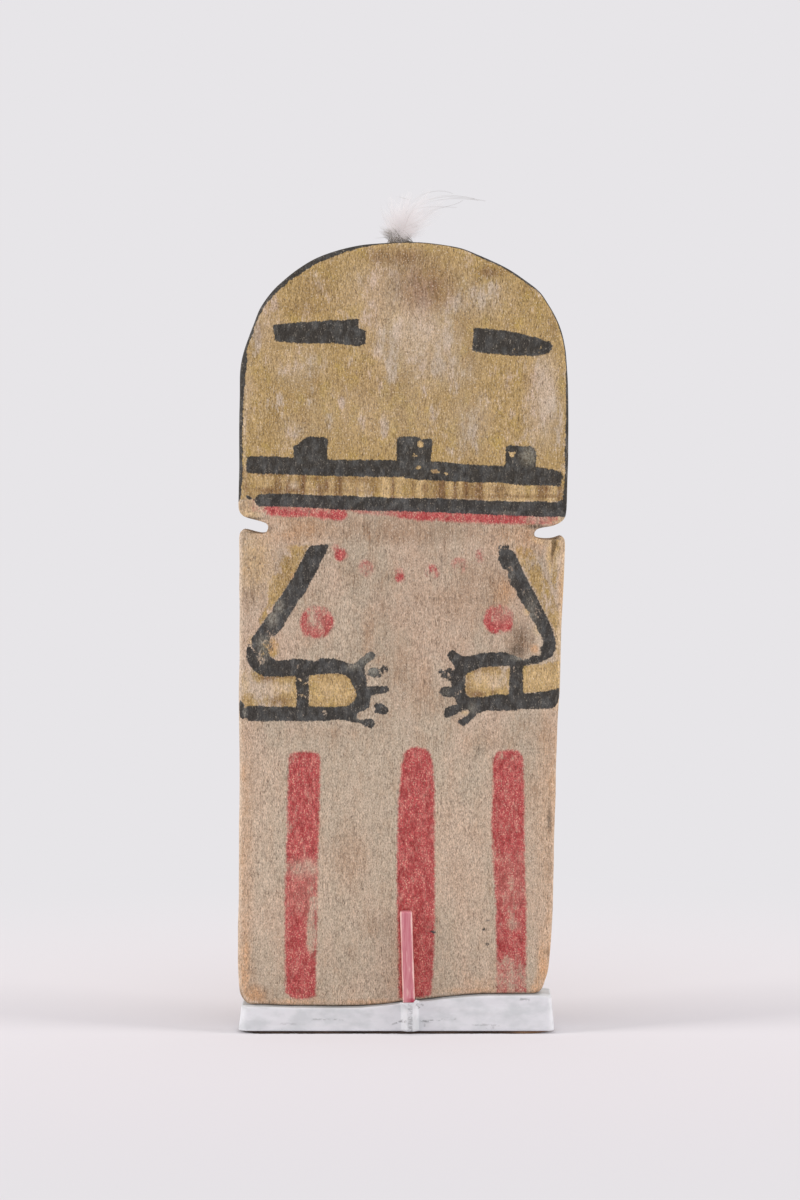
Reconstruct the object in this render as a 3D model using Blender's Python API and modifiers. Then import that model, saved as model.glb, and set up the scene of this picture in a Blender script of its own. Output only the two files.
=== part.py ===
"""A flat carved kachina doll with a down plume, held on a narrow painted stand.

Metres, +Z up. The doll faces -Y, and the origin is under the middle of the whole work.
The doll is one board: a domed head and a slightly tapering body, parted by two side notches.
"""
import math

import bmesh
import bpy
from mathutils import Matrix, Vector

MM = 0.001
GAP = 0.3 * MM

# Driving dimensions of the board.
BOARD_THICKNESS = 12.0 * MM
FACE_Y = -BOARD_THICKNESS / 2
EDGE_RADIUS = 1.7 * MM
HEAD_TOP = 198.2 * MM
CROWN_X = 2.0 * MM
HEAD_LEFT = -40.9 * MM
HEAD_RIGHT = 41.35 * MM
DOME_SPRING = 158.0 * MM
NECK_RIGHT = 40.5 * MM

# The long sides below the chin, as (x, z): the left one upwards, the right one downwards.
LEFT_SIDE = [
    (-41.0 * MM, 11.4 * MM),
    (-41.4 * MM, 20.0 * MM),
    (-41.0 * MM, 75.0 * MM),
    (HEAD_LEFT, 131.0 * MM),
]
RIGHT_SIDE = [
    (40.8 * MM, 131.0 * MM),
    (38.7 * MM, 75.0 * MM),
    (37.7 * MM, 40.0 * MM),
    (36.8 * MM, 18.0 * MM),
    (35.4 * MM, 12.4 * MM),
]

# The dome was cut by hand, so its shoulders differ. Each point is a fraction of the half
# width on its own side and a fraction of the rise above DOME_SPRING.
DOME_LEFT = [(0.99, 0.22), (0.935, 0.41), (0.80, 0.70), (0.565, 0.892), (0.30, 0.982)]
DOME_RIGHT = [(0.22, 0.985), (0.44, 0.91), (0.70, 0.775), (0.87, 0.625), (0.96, 0.435), (0.995, 0.23)]

# The doll's uneven lower edge, left to right, as (x, z). The stand's top follows it.
LOWER_EDGE = [
    (-38.6 * MM, 7.6 * MM),
    (-28.0 * MM, 7.1 * MM),
    (-12.0 * MM, 7.0 * MM),
    (-1.0 * MM, 8.0 * MM),
    (10.0 * MM, 9.3 * MM),
    (22.0 * MM, 10.1 * MM),
    (33.4 * MM, 10.2 * MM),
]

# The neck notches in mm, as (depth in from the side, height over the notch's middle), lower lip first.
NOTCH_LEFT_Z = 127.7 * MM
NOTCH_LEFT = [
    (-2.0, -1.5),
    (1.5, -1.4),
    (5.4, -2.2),
    (7.0, -1.6),
    (7.4, -0.4),
    (6.2, 0.8),
    (1.0, 2.0),
    (-2.0, 3.6),
]
NOTCH_RIGHT_Z = 125.5 * MM
NOTCH_RIGHT = [
    (-2.0, -1.3),
    (2.4, -1.3),
    (5.2, -1.5),
    (7.4, -1.0),
    (7.9, 0.1),
    (7.2, 1.1),
    (3.4, 1.9),
    (-2.0, 3.8),
]

# The split below the right notch.
SPLIT_TOP = Vector((37.2 * MM, FACE_Y, 125.0 * MM))
SPLIT_TIP = Vector((37.1 * MM, FACE_Y, 116.4 * MM))
SPLIT_RADIUS = 1.3 * MM

# Driving dimensions of the stand.
CORNER_STEPS = 7
PAD_THICKNESS = 0.7 * MM
PAD_INSET = 0.4 * MM
PAD_CORNER = 5.5 * MM
BASE_FOOT = PAD_THICKNESS + GAP
BASE_LEFT = -41.35 * MM
BASE_RIGHT = 38.0 * MM
BASE_DEPTH = 13.8 * MM
BASE_CORNER = 2.7 * MM
BASE_END_DRAFT = 0.9 * MM
BASE_SIDE_DRAFT = 0.4 * MM
BASE_ARRIS = 0.45 * MM
BASE_ARRIS_ANGLE = math.radians(50)
BASE_TOP_FALL = 1.2 * MM
CLEARANCE = 10 * MM
PRONG_WIDTH = 3.1 * MM
PRONG_DEPTH = 2.8 * MM
PRONG_TOP = 31.1 * MM
PRONG_FOOT = 1.9 * MM
PRONG_TOP_X = 0.7 * MM
PRONG_FOOT_X = 2.2 * MM
PRONG_ARRIS = 0.8 * MM

# Driving dimensions of the plume. Each lock is its tip, from the head's top, and its radius.
PLUME_X = -1.6 * MM
CLUMP_SIZE = Vector((5.4, 4.4, 3.4)) * MM
CLUMP_CENTRE = Vector((PLUME_X, 0.0, HEAD_TOP + GAP + CLUMP_SIZE.z / 4))
LOCKS = [
    (Vector((-5.4, 2.4, 6.8)) * MM, 1.6 * MM),
    (Vector((-2.0, -3.2, 11.6)) * MM, 1.8 * MM),
    (Vector((2.4, 3.6, 12.8)) * MM, 1.9 * MM),
    (Vector((6.8, -1.0, 13.3)) * MM, 2.0 * MM),
    (Vector((11.4, 3.0, 12.6)) * MM, 1.8 * MM),
    (Vector((15.4, -3.0, 10.8)) * MM, 1.7 * MM),
    (Vector((21.2, 0.4, 9.8)) * MM, 1.5 * MM),
    (Vector((13.6, 2.6, 8.0)) * MM, 1.7 * MM),
    (Vector((9.4, -3.8, 6.2)) * MM, 1.6 * MM),
    (Vector((4.4, 4.2, 5.6)) * MM, 1.6 * MM),
]
LOCK_POINTS = 9

# A lock bends at this share of its length, pushed aside by this much of it. Its radius grows from
# the root's share by the swell and closes to the tip's share.
LOCK_KNEE = 0.45
LOCK_BEND = Vector((-0.12, 0.0, 0.22))
LOCK_ROOT = 0.6
LOCK_SWELL = 1.5
LOCK_TIP = 0.15


def clear_scene():
    """Empty the file of every object."""
    for item in list(bpy.data.objects):
        bpy.data.objects.remove(item, do_unlink=True)


def new_collection(name, hidden=False):
    """Add a collection to the scene."""
    collection = bpy.data.collections.new(name)
    bpy.context.scene.collection.children.link(collection)
    collection.hide_render = hidden
    return collection


def new_material(name, colour, roughness, metallic=0.0):
    """Make a Principled material from a linear colour."""
    material = bpy.data.materials.new(name)
    material.use_nodes = True
    shader = material.node_tree.nodes["Principled BSDF"]
    shader.inputs["Base Color"].default_value = (*colour, 1.0)
    shader.inputs["Roughness"].default_value = roughness
    shader.inputs["Metallic"].default_value = metallic
    material.diffuse_color = (*colour, 1.0)
    return material


def outline_plate(name, points, half_thickness, collection, bevel=0.0, resolution=5, corners=()):
    """Make a flat closed outline that stands in the XZ plane, thick along Y, as a curve object.

    The points are (x, z) and run clockwise seen from the front. They are joined smoothly, but
    for the corners, whose indices are given. A bevel rounds the plate's rim inside its outline.
    """
    data = bpy.data.curves.new(name, "CURVE")
    data.dimensions = "2D"
    data.fill_mode = "BOTH"
    data.resolution_u = resolution
    data.extrude = half_thickness - bevel
    data.bevel_depth = bevel
    data.bevel_resolution = 2
    data.offset = -bevel
    spline = data.splines.new("BEZIER")
    spline.bezier_points.add(len(points) - 1)
    for index, (x, z) in enumerate(points):
        knot = spline.bezier_points[index]
        handle = "VECTOR" if index in corners else "AUTO"
        knot.handle_left_type = handle
        knot.handle_right_type = handle
        knot.co = (x, z, 0.0)
    spline.use_cyclic_u = True
    item = bpy.data.objects.new(name, data)
    item.rotation_euler = (math.radians(90), 0.0, 0.0)
    collection.objects.link(item)
    return item


def curve_to_mesh(item, collection):
    """Turn a curve object into a welded mesh object of the same name and place."""
    bpy.context.view_layer.update()
    evaluated = item.evaluated_get(bpy.context.evaluated_depsgraph_get())
    mesh = bpy.data.meshes.new_from_object(evaluated)
    shape = bmesh.new()
    shape.from_mesh(mesh)
    bmesh.ops.remove_doubles(shape, verts=shape.verts, dist=0.01 * MM)
    bmesh.ops.recalc_face_normals(shape, faces=shape.faces)
    shape.to_mesh(mesh)
    shape.free()
    name = item.name
    place = item.matrix_world.copy()
    bpy.data.objects.remove(item, do_unlink=True)
    solid = bpy.data.objects.new(name, mesh)
    solid.matrix_world = place
    collection.objects.link(solid)
    return solid


def solid_plate(*args, **kwargs):
    """Make an outline plate and turn it into a mesh in the same collection."""
    item = outline_plate(*args, **kwargs)
    return curve_to_mesh(item, item.users_collection[0])


def box(name, low, high, collection):
    """Make a box between two corners, from a unit cube."""
    shape = bmesh.new()
    size = Vector(high) - Vector(low)
    centre = (Vector(high) + Vector(low)) / 2
    place = Matrix.Translation(centre) @ Matrix.Diagonal((*size, 1.0))
    bmesh.ops.create_cube(shape, size=1.0, matrix=place)
    mesh = bpy.data.meshes.new(name)
    shape.to_mesh(mesh)
    shape.free()
    item = bpy.data.objects.new(name, mesh)
    collection.objects.link(item)
    return item


def combine(target, other, operation):
    """Add an exact Boolean modifier, and show the other object as a wire that isn't rendered."""
    modifier = target.modifiers.new(f"{operation.lower()} {other.name}", "BOOLEAN")
    modifier.operation = operation
    modifier.solver = "EXACT"
    modifier.object = other
    other.hide_render = True
    other.display_type = "WIRE"


def dress(item, material, angle=35.0):
    """Give a mesh object its material, shaded smooth between edges sharper than the angle."""
    item.data.materials.clear()
    item.data.materials.append(material)
    item.data.shade_smooth()
    item.data.set_sharp_from_angle(angle=math.radians(angle))


def board_outline():
    """List the doll's outline without its notches, from the lower left corner clockwise."""
    rise = HEAD_TOP - DOME_SPRING
    left = [(CROWN_X + u * (HEAD_LEFT - CROWN_X), DOME_SPRING + v * rise) for u, v in DOME_LEFT]
    right = [(CROWN_X + u * (HEAD_RIGHT - CROWN_X), DOME_SPRING + v * rise) for u, v in DOME_RIGHT]
    dome = [(HEAD_LEFT, DOME_SPRING), *left, (CROWN_X, HEAD_TOP), *right, (HEAD_RIGHT, DOME_SPRING)]
    return [*LEFT_SIDE, *dome, *RIGHT_SIDE, *reversed(LOWER_EDGE)]


def notch_cutter(name, shape, side_x, height, direction, collection):
    """Make the cutter of a neck notch, from its points in from the side of the board."""
    points = [(side_x + direction * depth * MM, height + rise * MM) for depth, rise in shape]
    corners = (0, len(points) - 1)
    return solid_plate(name, points, BOARD_THICKNESS, collection, resolution=4, corners=corners)


def split_cutter(collection):
    """Make the slim cone that opens the split in the front face."""
    shape = bmesh.new()
    length = (SPLIT_TOP - SPLIT_TIP).length
    turn = (SPLIT_TOP - SPLIT_TIP).to_track_quat("Z", "Y").to_matrix().to_4x4()
    place = Matrix.Translation((SPLIT_TOP + SPLIT_TIP) / 2) @ turn
    bmesh.ops.create_cone(
        shape, cap_ends=True, segments=8, radius1=0.0, radius2=SPLIT_RADIUS, depth=length, matrix=place
    )
    mesh = bpy.data.meshes.new("split_cutter")
    shape.to_mesh(mesh)
    shape.free()
    item = bpy.data.objects.new("split_cutter", mesh)
    collection.objects.link(item)
    return item


def make_board(parts, cutters, material):
    """Carve the doll: a plate with a rounded rim, two notches and the split."""
    outline = board_outline()
    lower = range(len(outline) - len(LOWER_EDGE), len(outline))
    board = solid_plate("carved_board", outline, BOARD_THICKNESS / 2, parts, bevel=EDGE_RADIUS, corners=lower)
    left_notch = notch_cutter("left_notch", NOTCH_LEFT, HEAD_LEFT, NOTCH_LEFT_Z, 1, cutters)
    right_notch = notch_cutter("right_notch", NOTCH_RIGHT, NECK_RIGHT, NOTCH_RIGHT_Z, -1, cutters)
    for cutter in (left_notch, right_notch, split_cutter(cutters)):
        combine(board, cutter, "DIFFERENCE")
    dress(board, material)
    return board


def slab(name, plan, corner, heights, draft, collection):
    """Make an upright slab with round corners in plan, narrower at its top by the draft.

    The plan is its left and right end and its depth, and the draft is that of the ends and sides.
    """
    left, right, depth = plan
    low, high = heights
    data = bpy.data.curves.new(name, "CURVE")
    data.dimensions = "2D"
    data.fill_mode = "BOTH"
    data.extrude = (high - low) / 2
    side = depth / 2 - corner
    turns = (
        (right - corner, -side, -90),
        (right - corner, side, 0),
        (left + corner, side, 90),
        (left + corner, -side, 180),
    )
    outline = []
    for x, y, start in turns:
        for step in range(CORNER_STEPS + 1):
            angle = math.radians(start + 90 * step / CORNER_STEPS)
            outline.append((x + corner * math.cos(angle), y + corner * math.sin(angle)))
    spline = data.splines.new("POLY")
    spline.points.add(len(outline) - 1)
    for point, (x, y) in zip(spline.points, outline):
        point.co = (x, y, 0.0, 1.0)
    spline.use_cyclic_u = True
    item = bpy.data.objects.new(name, data)
    item.location.z = (low + high) / 2
    collection.objects.link(item)
    solid = curve_to_mesh(item, collection)
    ends, sides = draft
    centre = (left + right) / 2
    for vertex in solid.data.vertices:
        if vertex.co.z > 0.0:
            vertex.co.x = centre + (vertex.co.x - centre) * (1 - 2 * ends / (right - left))
            vertex.co.y *= 1 - 2 * sides / depth
    return solid


def make_base(parts, cutters, material):
    """Make the painted block, cut to the doll's lower edge and to the prongs."""
    top = max(z for x, z in LOWER_EDGE)
    plan = (BASE_LEFT, BASE_RIGHT, BASE_DEPTH)
    draft = (BASE_END_DRAFT, BASE_SIDE_DRAFT)
    base = slab("stand_base", plan, BASE_CORNER, (BASE_FOOT, top), draft, parts)
    left_end = (BASE_LEFT - CLEARANCE, LOWER_EDGE[0][1] - GAP - BASE_TOP_FALL)
    right_end = (BASE_RIGHT + CLEARANCE, LOWER_EDGE[-1][1] - GAP - BASE_TOP_FALL)
    line = [(x, z - GAP) for x, z in LOWER_EDGE]
    sky = [(BASE_RIGHT + CLEARANCE, top + CLEARANCE), (BASE_LEFT - CLEARANCE, top + CLEARANCE)]
    above = [left_end, *line, right_end, *sky]
    cutter = solid_plate("top_cutter", above, BASE_DEPTH, cutters, resolution=1, corners=range(len(above)))
    combine(base, cutter, "DIFFERENCE")
    half = PRONG_WIDTH / 2 + GAP
    for side, name in ((-1, "front_groove"), (1, "back_groove")):
        groove_y = side * (BOARD_THICKNESS / 2)
        low = Vector((PRONG_FOOT_X - half, min(groove_y, side * BASE_DEPTH), PRONG_FOOT - GAP))
        high = Vector((PRONG_FOOT_X + half, max(groove_y, side * BASE_DEPTH), top + CLEARANCE))
        combine(base, box(name, low, high, cutters), "DIFFERENCE")
    arris = base.modifiers.new("soft arris", "BEVEL")
    arris.width = BASE_ARRIS
    arris.segments = 2
    arris.limit_method = "ANGLE"
    arris.angle_limit = BASE_ARRIS_ANGLE
    dress(base, material)
    return base


def make_prong(name, side, parts, material):
    """Make a bar that stands in its groove and leans a little to the left."""
    inner = side * (BOARD_THICKNESS / 2 + GAP)
    outer = inner + side * PRONG_DEPTH
    low = (-PRONG_WIDTH / 2, min(inner, outer), 0.0)
    high = (PRONG_WIDTH / 2, max(inner, outer), PRONG_TOP - PRONG_FOOT)
    prong = box(name, low, high, parts)
    prong.location = (PRONG_FOOT_X, 0.0, PRONG_FOOT)
    prong.rotation_euler.y = math.atan2(PRONG_TOP_X - PRONG_FOOT_X, PRONG_TOP - PRONG_FOOT)
    arris = prong.modifiers.new("painted arris", "BEVEL")
    arris.width = PRONG_ARRIS
    arris.segments = 3
    dress(prong, material)
    return prong


def lock_curve(index, tip, radius, collection):
    """Make one lock of down: a tube that swells above its root and thins out to its tip.

    Its axis leaves the root upwards and bends over evenly towards the tip.
    """
    data = bpy.data.curves.new(f"lock_{index}", "CURVE")
    data.dimensions = "3D"
    data.bevel_depth = radius
    data.bevel_resolution = 1
    data.use_fill_caps = True
    root = CLUMP_CENTRE
    end = Vector((0.0, 0.0, HEAD_TOP)) + tip
    knee = root.lerp(end, LOCK_KNEE) + LOCK_BEND * (end - root).length
    spline = data.splines.new("POLY")
    spline.points.add(LOCK_POINTS - 1)
    for step, point in enumerate(spline.points):
        t = step / (LOCK_POINTS - 1)
        place = root * (1 - t) ** 2 + knee * 2 * t * (1 - t) + end * t ** 2
        point.co = (*place, 1.0)
        point.radius = (LOCK_ROOT + LOCK_SWELL * t) * math.sqrt(1 - t) + LOCK_TIP
    item = bpy.data.objects.new(f"lock_{index}", data)
    collection.objects.link(item)
    return item


def make_plume(parts, cutters, material):
    """Make the tuft: locks of down fused with the flat-bottomed clump that they grow from."""
    shape = bmesh.new()
    place = Matrix.Translation(CLUMP_CENTRE) @ Matrix.Diagonal((*CLUMP_SIZE, 1.0))
    bmesh.ops.create_uvsphere(shape, u_segments=16, v_segments=8, radius=0.5, matrix=place)
    mesh = bpy.data.meshes.new("down_plume")
    shape.to_mesh(mesh)
    shape.free()
    plume = bpy.data.objects.new("down_plume", mesh)
    parts.objects.link(plume)
    for index, (tip, radius) in enumerate(LOCKS):
        lock = curve_to_mesh(lock_curve(index, tip, radius, cutters), cutters)
        combine(plume, lock, "UNION")
    low = (-CLEARANCE, -CLEARANCE, HEAD_TOP - CLEARANCE)
    high = (CLEARANCE, CLEARANCE, HEAD_TOP + GAP)
    under = box("head_top", low, high, cutters)
    combine(plume, under, "DIFFERENCE")
    dress(plume, material, angle=60.0)
    return plume


def make_pad(parts, material):
    """Make the thin layer under the block, set in a little all round."""
    plan = (BASE_LEFT + PAD_INSET, BASE_RIGHT - PAD_INSET, BASE_DEPTH - 2 * PAD_INSET)
    pad = slab("base_pad", plan, PAD_CORNER, (0.0, PAD_THICKNESS), (0.0, 0.0), parts)
    dress(pad, material)
    return pad


def main():
    """Build the doll and its stand."""
    clear_scene()
    parts = new_collection("kachina_doll")
    cutters = new_collection("cutters", hidden=True)
    wood = new_material("painted cottonwood", (0.43, 0.31, 0.21), 0.85)
    down = new_material("white down", (0.78, 0.74, 0.70), 0.9)
    white = new_material("white stand paint", (0.66, 0.66, 0.68), 0.5)
    pink = new_material("pink prong paint", (0.60, 0.24, 0.26), 0.3)
    tan = new_material("tan prong paint", (0.45, 0.33, 0.22), 0.4)
    felt = new_material("brown felt", (0.05, 0.03, 0.02), 0.95)
    make_board(parts, cutters, wood)
    make_plume(parts, cutters, down)
    make_base(parts, cutters, white)
    make_prong("front_prong", -1, parts, pink)
    make_prong("back_prong", 1, parts, tan)
    make_pad(parts, felt)


if __name__ == "__main__":
    main()
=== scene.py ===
"""The finished surfaces of a flat carved kachina doll with a down plume, on its painted stand.

Sizes in this file are millimetres unless a name says otherwise. +Z is up, +X is to the right of
the painted front and the front looks along -Y. Meshes are made in millimetres and stored in
metres, in the same frame as the solid model.
"""
from __future__ import annotations

import logging
import math
from dataclasses import dataclass, field
from enum import Enum

import bmesh
import bpy
import numpy as np
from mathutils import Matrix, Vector
from mathutils.geometry import delaunay_2d_cdt

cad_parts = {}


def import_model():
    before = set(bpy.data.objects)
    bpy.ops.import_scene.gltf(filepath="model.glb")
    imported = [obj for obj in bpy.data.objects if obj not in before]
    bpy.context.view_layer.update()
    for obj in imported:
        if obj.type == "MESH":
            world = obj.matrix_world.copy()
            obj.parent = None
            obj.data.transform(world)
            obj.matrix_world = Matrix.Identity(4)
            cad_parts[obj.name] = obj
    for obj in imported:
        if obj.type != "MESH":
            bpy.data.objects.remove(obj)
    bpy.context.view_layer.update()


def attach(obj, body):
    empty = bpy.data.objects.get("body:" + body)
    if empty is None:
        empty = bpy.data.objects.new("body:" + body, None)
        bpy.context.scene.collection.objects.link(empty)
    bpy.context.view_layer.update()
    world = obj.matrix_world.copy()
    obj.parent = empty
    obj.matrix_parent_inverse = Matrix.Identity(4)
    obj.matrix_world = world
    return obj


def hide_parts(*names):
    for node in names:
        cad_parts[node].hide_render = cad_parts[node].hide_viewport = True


LOG = logging.getLogger("kachina")
MM = 0.001
Points = tuple[tuple[float, float], ...]
FAR = -4.0


class Tone(Enum):
    """The soft stains and worn places that tint the bare or painted wood, with the painted shade and painted highlights
    laid among them.
    """

    BARE = "bare"
    CREAM = "cream"
    UMBER = "umber"
    RUST = "rust"
    GRIME_AND_SHADE = "grime"
    PALE = "pale"


class Pigment(Enum):
    """The paints, in the order in which they were brushed on."""

    OCHRE = "ochre"
    RED = "red"
    BLACK = "black"


def linear(code: str) -> tuple[float, float, float, float]:
    """Turn an sRGB hex colour into linear RGB with a full alpha.

    Args:
        code: six hex digits, such as "B09364".

    Returns:
        Red, green, blue and alpha, from 0 to 1.
    """
    parts = [int(code[i : i + 2], 16) / 255 for i in (0, 2, 4)]
    return (*(p / 12.92 if p <= 0.04045 else ((p + 0.055) / 1.055) ** 2.4 for p in parts), 1.0)


def add(tree: bpy.types.NodeTree, kind: str, inputs: dict | None = None, out: int | str = 0, **settings: object):
    """Add a node, set its properties, and set or link its inputs.

    Args:
        tree: the material's node tree.
        kind: the node's type, without its ShaderNode prefix.
        inputs: socket name or number, to a value or to the output socket that feeds it.
        out: the output socket to return.
        settings: the node's own properties.

    Returns:
        The chosen output socket, or the node itself if it has no outputs.
    """
    made = tree.nodes.new("ShaderNode" + kind)
    for name, value in settings.items():
        setattr(made, name, value)
    for key, value in (inputs or {}).items():
        if isinstance(value, bpy.types.NodeSocket):
            tree.links.new(value, made.inputs[key])
        else:
            made.inputs[key].default_value = value
    return made.outputs[out] if len(made.outputs) else made


def new_material(name: str) -> tuple[bpy.types.Material, bpy.types.NodeTree]:
    """Make an empty node material and return it with its tree."""
    material = bpy.data.materials.new(name)
    material.use_nodes = True
    material.node_tree.nodes.clear()
    return material, material.node_tree


def smoothstep(low: float, high: float, value: np.ndarray) -> np.ndarray:
    """Ease from 0 below the low value to 1 above the high one."""
    t = np.clip((value - low) / (high - low), 0.0, 1.0)
    return t * t * (3.0 - 2.0 * t)


def drift(a: np.ndarray, b: np.ndarray, cell_a: float, cell_b: float, seed: int) -> np.ndarray:
    """Smooth random heights from -1 to 1 over two coordinates.

    Random values sit on a lattice of the given cell sizes, and each point eases between the four
    round it.

    Args:
        a: the first coordinate, in mm.
        b: the second coordinate, in mm.
        cell_a: the lattice spacing along the first coordinate.
        cell_b: the lattice spacing along the second coordinate.
        seed: the seed of the random values.

    Returns:
        One height for each point.
    """
    table = np.random.default_rng(seed).uniform(-1.0, 1.0, (256, 256))
    u, v = a / cell_a + 128.0, b / cell_b + 128.0
    i, j = np.floor(u).astype(int), np.floor(v).astype(int)
    fu, fv = smoothstep(0.0, 1.0, u - i), smoothstep(0.0, 1.0, v - j)
    i, j = i % 255, j % 255
    low = table[i, j] * (1 - fu) + table[i + 1, j] * fu
    high = table[i, j + 1] * (1 - fu) + table[i + 1, j + 1] * fu
    return low * (1 - fv) + high * fv


def smooth_loop(knots: np.ndarray, spacing: float) -> np.ndarray:
    """Run a closed smooth curve through its knots and sample it evenly.

    The curve is a centripetal Catmull-Rom spline: each span blends the two knots before and after
    it by the square roots of their distances, so that it doesn't overshoot.

    Args:
        knots: the given points, one row each.
        spacing: the distance between samples, in mm.

    Returns:
        The samples, one row each, without repeating the first.
    """
    p0, p1, p2, p3 = (np.roll(knots, shift, axis=0) for shift in (1, 0, -1, -2))
    d1, d2, d3 = (np.sqrt(np.linalg.norm(b - a, axis=1))[:, None] for a, b in ((p0, p1), (p1, p2), (p2, p3)))
    m1 = p2 - p1 + d2 * ((p1 - p0) / d1 - (p2 - p0) / (d1 + d2))
    m2 = p2 - p1 + d2 * ((p3 - p2) / d3 - (p3 - p1) / (d2 + d3))
    t = np.linspace(0.0, 1.0, 40, endpoint=False)[None, :, None]
    a, b, m, n = p1[:, None], p2[:, None], m1[:, None], m2[:, None]
    dense = a * (2 * t**3 - 3 * t**2 + 1) + m * (t**3 - 2 * t**2 + t) + b * (3 * t**2 - 2 * t**3) + n * (t**3 - t**2)
    dense = dense.reshape(-1, knots.shape[1])
    closed = np.vstack([dense, dense[:1]])
    run = np.concatenate([[0.0], np.cumsum(np.linalg.norm(np.diff(closed, axis=0), axis=1))])
    wanted = np.linspace(0.0, run[-1], int(run[-1] / spacing), endpoint=False)
    return np.stack([np.interp(wanted, run, closed[:, k]) for k in range(closed.shape[1])], axis=1)


def soften(values: np.ndarray, steps: float) -> np.ndarray:
    """Blur values round a loop with a bell of the given width, in samples."""
    reach = int(steps * 3) + 1
    offsets = np.arange(-reach, reach + 1)
    weights = np.exp(-0.5 * (offsets / steps) ** 2)
    weights /= weights.sum()
    return sum(w * np.roll(values, -k, axis=0) for k, w in zip(offsets, weights))


def signed_distance(x: np.ndarray, z: np.ndarray, loop: np.ndarray) -> tuple[np.ndarray, np.ndarray]:
    """Measure how deep points lie inside a closed polygon.

    The size is the distance to the nearest edge, by projection on to each. The sign comes from
    counting the edges that a ray to the right crosses.

    Args:
        x: the points' first coordinate.
        z: the points' second coordinate.
        loop: the polygon's corners, one row each.

    Returns:
        The depth of each point, positive inside, and the number of its nearest edge.
    """
    a, b = loop, np.roll(loop, -1, axis=0)
    edge = b - a
    length2 = np.maximum((edge**2).sum(axis=1), 1e-12)
    depth, nearest = np.empty(len(x)), np.empty(len(x), dtype=int)
    block = max(1, 4_000_000 // len(loop))
    for start in range(0, len(x), block):
        part = slice(start, start + block)
        dx, dz = x[part, None] - a[None, :, 0], z[part, None] - a[None, :, 1]
        t = np.clip((dx * edge[:, 0] + dz * edge[:, 1]) / length2, 0.0, 1.0)
        gap2 = (dx - t * edge[:, 0]) ** 2 + (dz - t * edge[:, 1]) ** 2
        nearest[part] = gap2.argmin(axis=1)
        above = a[None, :, 1] > z[part, None]
        crosses = above != (b[None, :, 1] > z[part, None])
        with np.errstate(divide="ignore", invalid="ignore"):
            hit = dx < edge[:, 0] * (z[part, None] - a[None, :, 1]) / edge[:, 1]
        inside = (crosses & hit).sum(axis=1) % 2 == 1
        depth[part] = np.sqrt(gap2.min(axis=1)) * np.where(inside, 1.0, -1.0)
    return depth, nearest


@dataclass(frozen=True)
class Stroke:
    """A brush stroke: a middle line with a half width at each point, and how solid its paint is."""

    line: Points
    half: float | tuple[float, ...]
    body: float = 1.0

    def box(self) -> tuple[float, float, float, float]:
        """Give the lowest and highest x and z that the stroke reaches."""
        line = np.array(self.line)
        margin = float(np.max(self.half))
        return (*(line.min(axis=0) - margin), *(line.max(axis=0) + margin))

    def reach(self, x: np.ndarray, z: np.ndarray) -> np.ndarray:
        """Signed distance to the stroke: the best of its segments' half width less distance."""
        line = np.array(self.line)
        half = np.broadcast_to(np.asarray(self.half, dtype=float), (len(line),))
        best = np.full(len(x), FAR)
        for a, b, ra, rb in zip(line[:-1], line[1:], half[:-1], half[1:]):
            edge = b - a
            t = np.clip(((x - a[0]) * edge[0] + (z - a[1]) * edge[1]) / max(edge @ edge, 1e-9), 0.0, 1.0)
            gap = np.hypot(x - a[0] - t * edge[0], z - a[1] - t * edge[1])
            best = np.maximum(best, ra + (rb - ra) * t - gap)
        return best


@dataclass(frozen=True)
class Patch:
    """A painted area with a hand-drawn outline, and how solid its paint is."""

    outline: Points
    body: float = 1.0

    def box(self) -> tuple[float, float, float, float]:
        """Give the lowest and highest x and z that the patch reaches."""
        outline = np.array(self.outline)
        return (*outline.min(axis=0), *outline.max(axis=0))

    def reach(self, x: np.ndarray, z: np.ndarray) -> np.ndarray:
        """Signed distance to the outline, positive inside."""
        return signed_distance(x, z, np.array(self.outline))[0]


@dataclass(frozen=True)
class Dab:
    """An oval dab, worn place or stain: its centre, its half sizes and its strength."""

    centre: tuple[float, float]
    radii: tuple[float, float]
    body: float = 1.0

    def box(self) -> tuple[float, float, float, float]:
        """Give the lowest and highest x and z that the dab reaches."""
        (cx, cz), (rx, rz) = self.centre, self.radii
        return (cx - rx, cz - rz, cx + rx, cz + rz)

    def radius(self, x: np.ndarray, z: np.ndarray) -> np.ndarray:
        """Distance from the centre as a fraction of the oval's own radius."""
        return np.hypot((x - self.centre[0]) / self.radii[0], (z - self.centre[1]) / self.radii[1])

    def reach(self, x: np.ndarray, z: np.ndarray) -> np.ndarray:
        """Signed distance to the oval, near enough: its radius less the fraction, in mm."""
        return (1.0 - self.radius(x, z)) * min(self.radii)


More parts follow.
